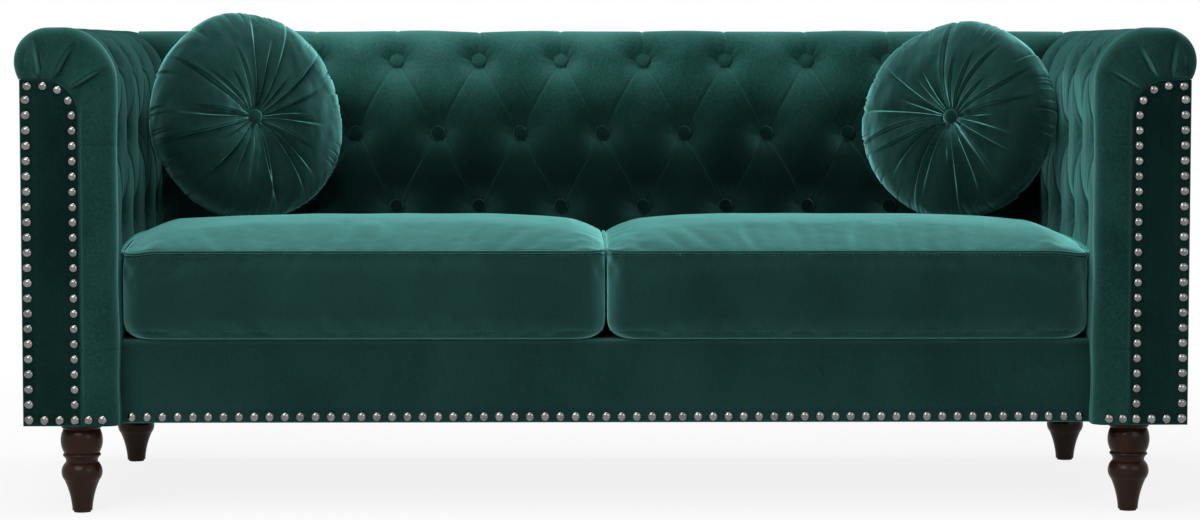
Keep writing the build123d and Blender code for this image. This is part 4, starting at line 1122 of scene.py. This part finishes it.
def make_pillow(side, seed, lift):
    """A pillow where the CAD one stands. lift is how far its upper half is drawn up."""
    places = sorted(island_centres(nodes[side + "_pillow_buttons"].data), key=lambda p: p[1])
    front, rear = Vector(places[0]), Vector(places[-1])
    axis = (front - rear).normalized()
    centre = (front + rear) / 2
    turn = np.array(axis.to_track_quat("Z", "Y").to_matrix())
    points = pillow_grid(seed) @ turn.T + np.array(centre)
    points[..., 2] += lift * smoothstep(0, PILLOW_R, points[..., 2] - centre.z)
    obj = grid_object(side + "_round_pillow", points, closed_v=True)
    face_outward(obj)
    body = side + "_pillow"
    velvet_piece(obj, body, side + "_pillow_cover", side + "_pillow_fill", material=VELVET_PILLOW)

    def facing(place):
        return axis if (Vector(place) - centre).dot(axis) > 0 else -axis

    studs = buttons_from_cad(side + "_pillow_studs", side + "_pillow_buttons", STUD_R, STUD_RISE, facing)
    velvet_piece(studs, body, side + "_pillow_buttons", material=VELVET_PILLOW)


make_pillow("left", 5, 0.014)
make_pillow("right", 8, 0.0)


# Stage: floor, lamps, world and camera

FLOOR_EDGE = 60
FLOOR_FADE = (0.9, 2.6)  # from the middle of the sofa out, where the floor runs out to white
FLOOR_WHITE = (0.86, 1.0)
WORLD_LIGHT = 0.10
LENS = 92.0
CAMERA_PLACE = (-0.071, FRONT - 5.05, 0.759)
CAMERA_DOWN = 3.78
CAMERA_ASIDE = 0.68
LAMPS = (  # name, place, target, size, watts, colour
    ("overhead", (-0.3, 0.15, 2.4), (0, 0, 0.4), (2.4, 1.3), 66, (1, 1, 1)),
    ("key", (-1.6, -3.0, 2.5), (0, 0, 0.45), (2.4, 1.8), 92, (1, 0.99, 0.97)),
    ("fill", (2.4, -3.2, 1.7), (0, 0, 0.4), (2.0, 1.8), 30, (0.97, 0.99, 1)),
)


def area_lamp(name, place, target, size, power, colour):
    data = bpy.data.lights.new(name, "AREA")
    data.shape = "RECTANGLE"
    data.size, data.size_y = size
    data.energy = power
    data.color = colour
    lamp = bpy.data.objects.new(name, data)
    lamp.location = place
    lamp.rotation_euler = (Vector(target) - Vector(place)).to_track_quat("-Z", "Y").to_euler()
    bpy.context.scene.collection.objects.link(lamp)


def shown_ray(tree):
    """1 on the rays by which camera, metal and glass show the background, 0 on those that light the sofa."""
    path = tree.nodes.new("ShaderNodeLightPath")
    seen = math_node(tree, "MAXIMUM", path.outputs["Is Camera Ray"], path.outputs["Is Glossy Ray"])
    return math_node(tree, "MAXIMUM", seen, path.outputs["Is Transmission Ray"])


def make_floor():
    """A pale floor that keeps the sofa's shadow and runs out to white, so that no horizon shows."""
    corners = [(FLOOR_EDGE * x, FLOOR_EDGE * y, 0) for x, y in ((-1, -1), (1, -1), (1, 1), (-1, 1))]
    floor = mesh_object("floor", corners, [(0, 1, 2, 3)])
    material, tree, shader = new_material("floor")
    mottle(tree, shader, noise_value(tree, 0.4, 2.0), 0.3, (0.82, 0.82, 0.82), (0.84, 0.84, 0.84))
    set_inputs(shader, {"Roughness": 0.9, "Specular IOR Level": 0.1})
    coords = tree.nodes.new("ShaderNodeTexCoord")
    distance = tree.nodes.new("ShaderNodeVectorMath")
    distance.operation = "LENGTH"
    tree.links.new(coords.outputs["Object"], distance.inputs[0])
    away = smooth_range(tree, distance.outputs["Value"], *FLOOR_FADE, *FLOOR_WHITE)
    seen = math_node(tree, "MULTIPLY", away, shown_ray(tree))
    white = tree.nodes.new("ShaderNodeEmission")
    mix = tree.nodes.new("ShaderNodeMixShader")
    tree.links.new(seen, mix.inputs[0])
    tree.links.new(shader.outputs["BSDF"], mix.inputs[1])
    tree.links.new(white.outputs["Emission"], mix.inputs[2])
    tree.links.new(mix.outputs["Shader"], tree.nodes["Material Output"].inputs["Surface"])
    paint(floor, material)


def make_world():
    """White where the camera or a polished surface shows it, and a dim studio elsewhere."""
    world = bpy.data.worlds.new("studio")
    world.use_nodes = True
    tree = world.node_tree
    background = tree.nodes["Background"]
    background.inputs["Color"].default_value = (1, 1, 1, 1)
    strength = tree.nodes.new("ShaderNodeMix")
    strength.data_type = "FLOAT"
    set_inputs(strength, {"A": WORLD_LIGHT, "B": 1.0})
    tree.links.new(shown_ray(tree), strength.inputs["Factor"])
    tree.links.new(strength.outputs["Result"], background.inputs["Strength"])
    bpy.context.scene.world = world


def make_camera():
    """The photograph's viewpoint: straight on, just below the tops of the arms."""
    data = bpy.data.cameras.new("camera")
    data.sensor_width = 36.0
    data.lens = LENS
    camera = bpy.data.objects.new("camera", data)
    camera.location = CAMERA_PLACE
    camera.rotation_euler = (math.radians(90 - CAMERA_DOWN), 0, math.radians(-CAMERA_ASIDE))
    bpy.context.scene.collection.objects.link(camera)
    bpy.context.scene.camera = camera


make_floor()
make_world()
make_camera()
for lamp in LAMPS:
    area_lamp(*lamp)
bpy.context.scene.view_settings.view_transform = "Standard"
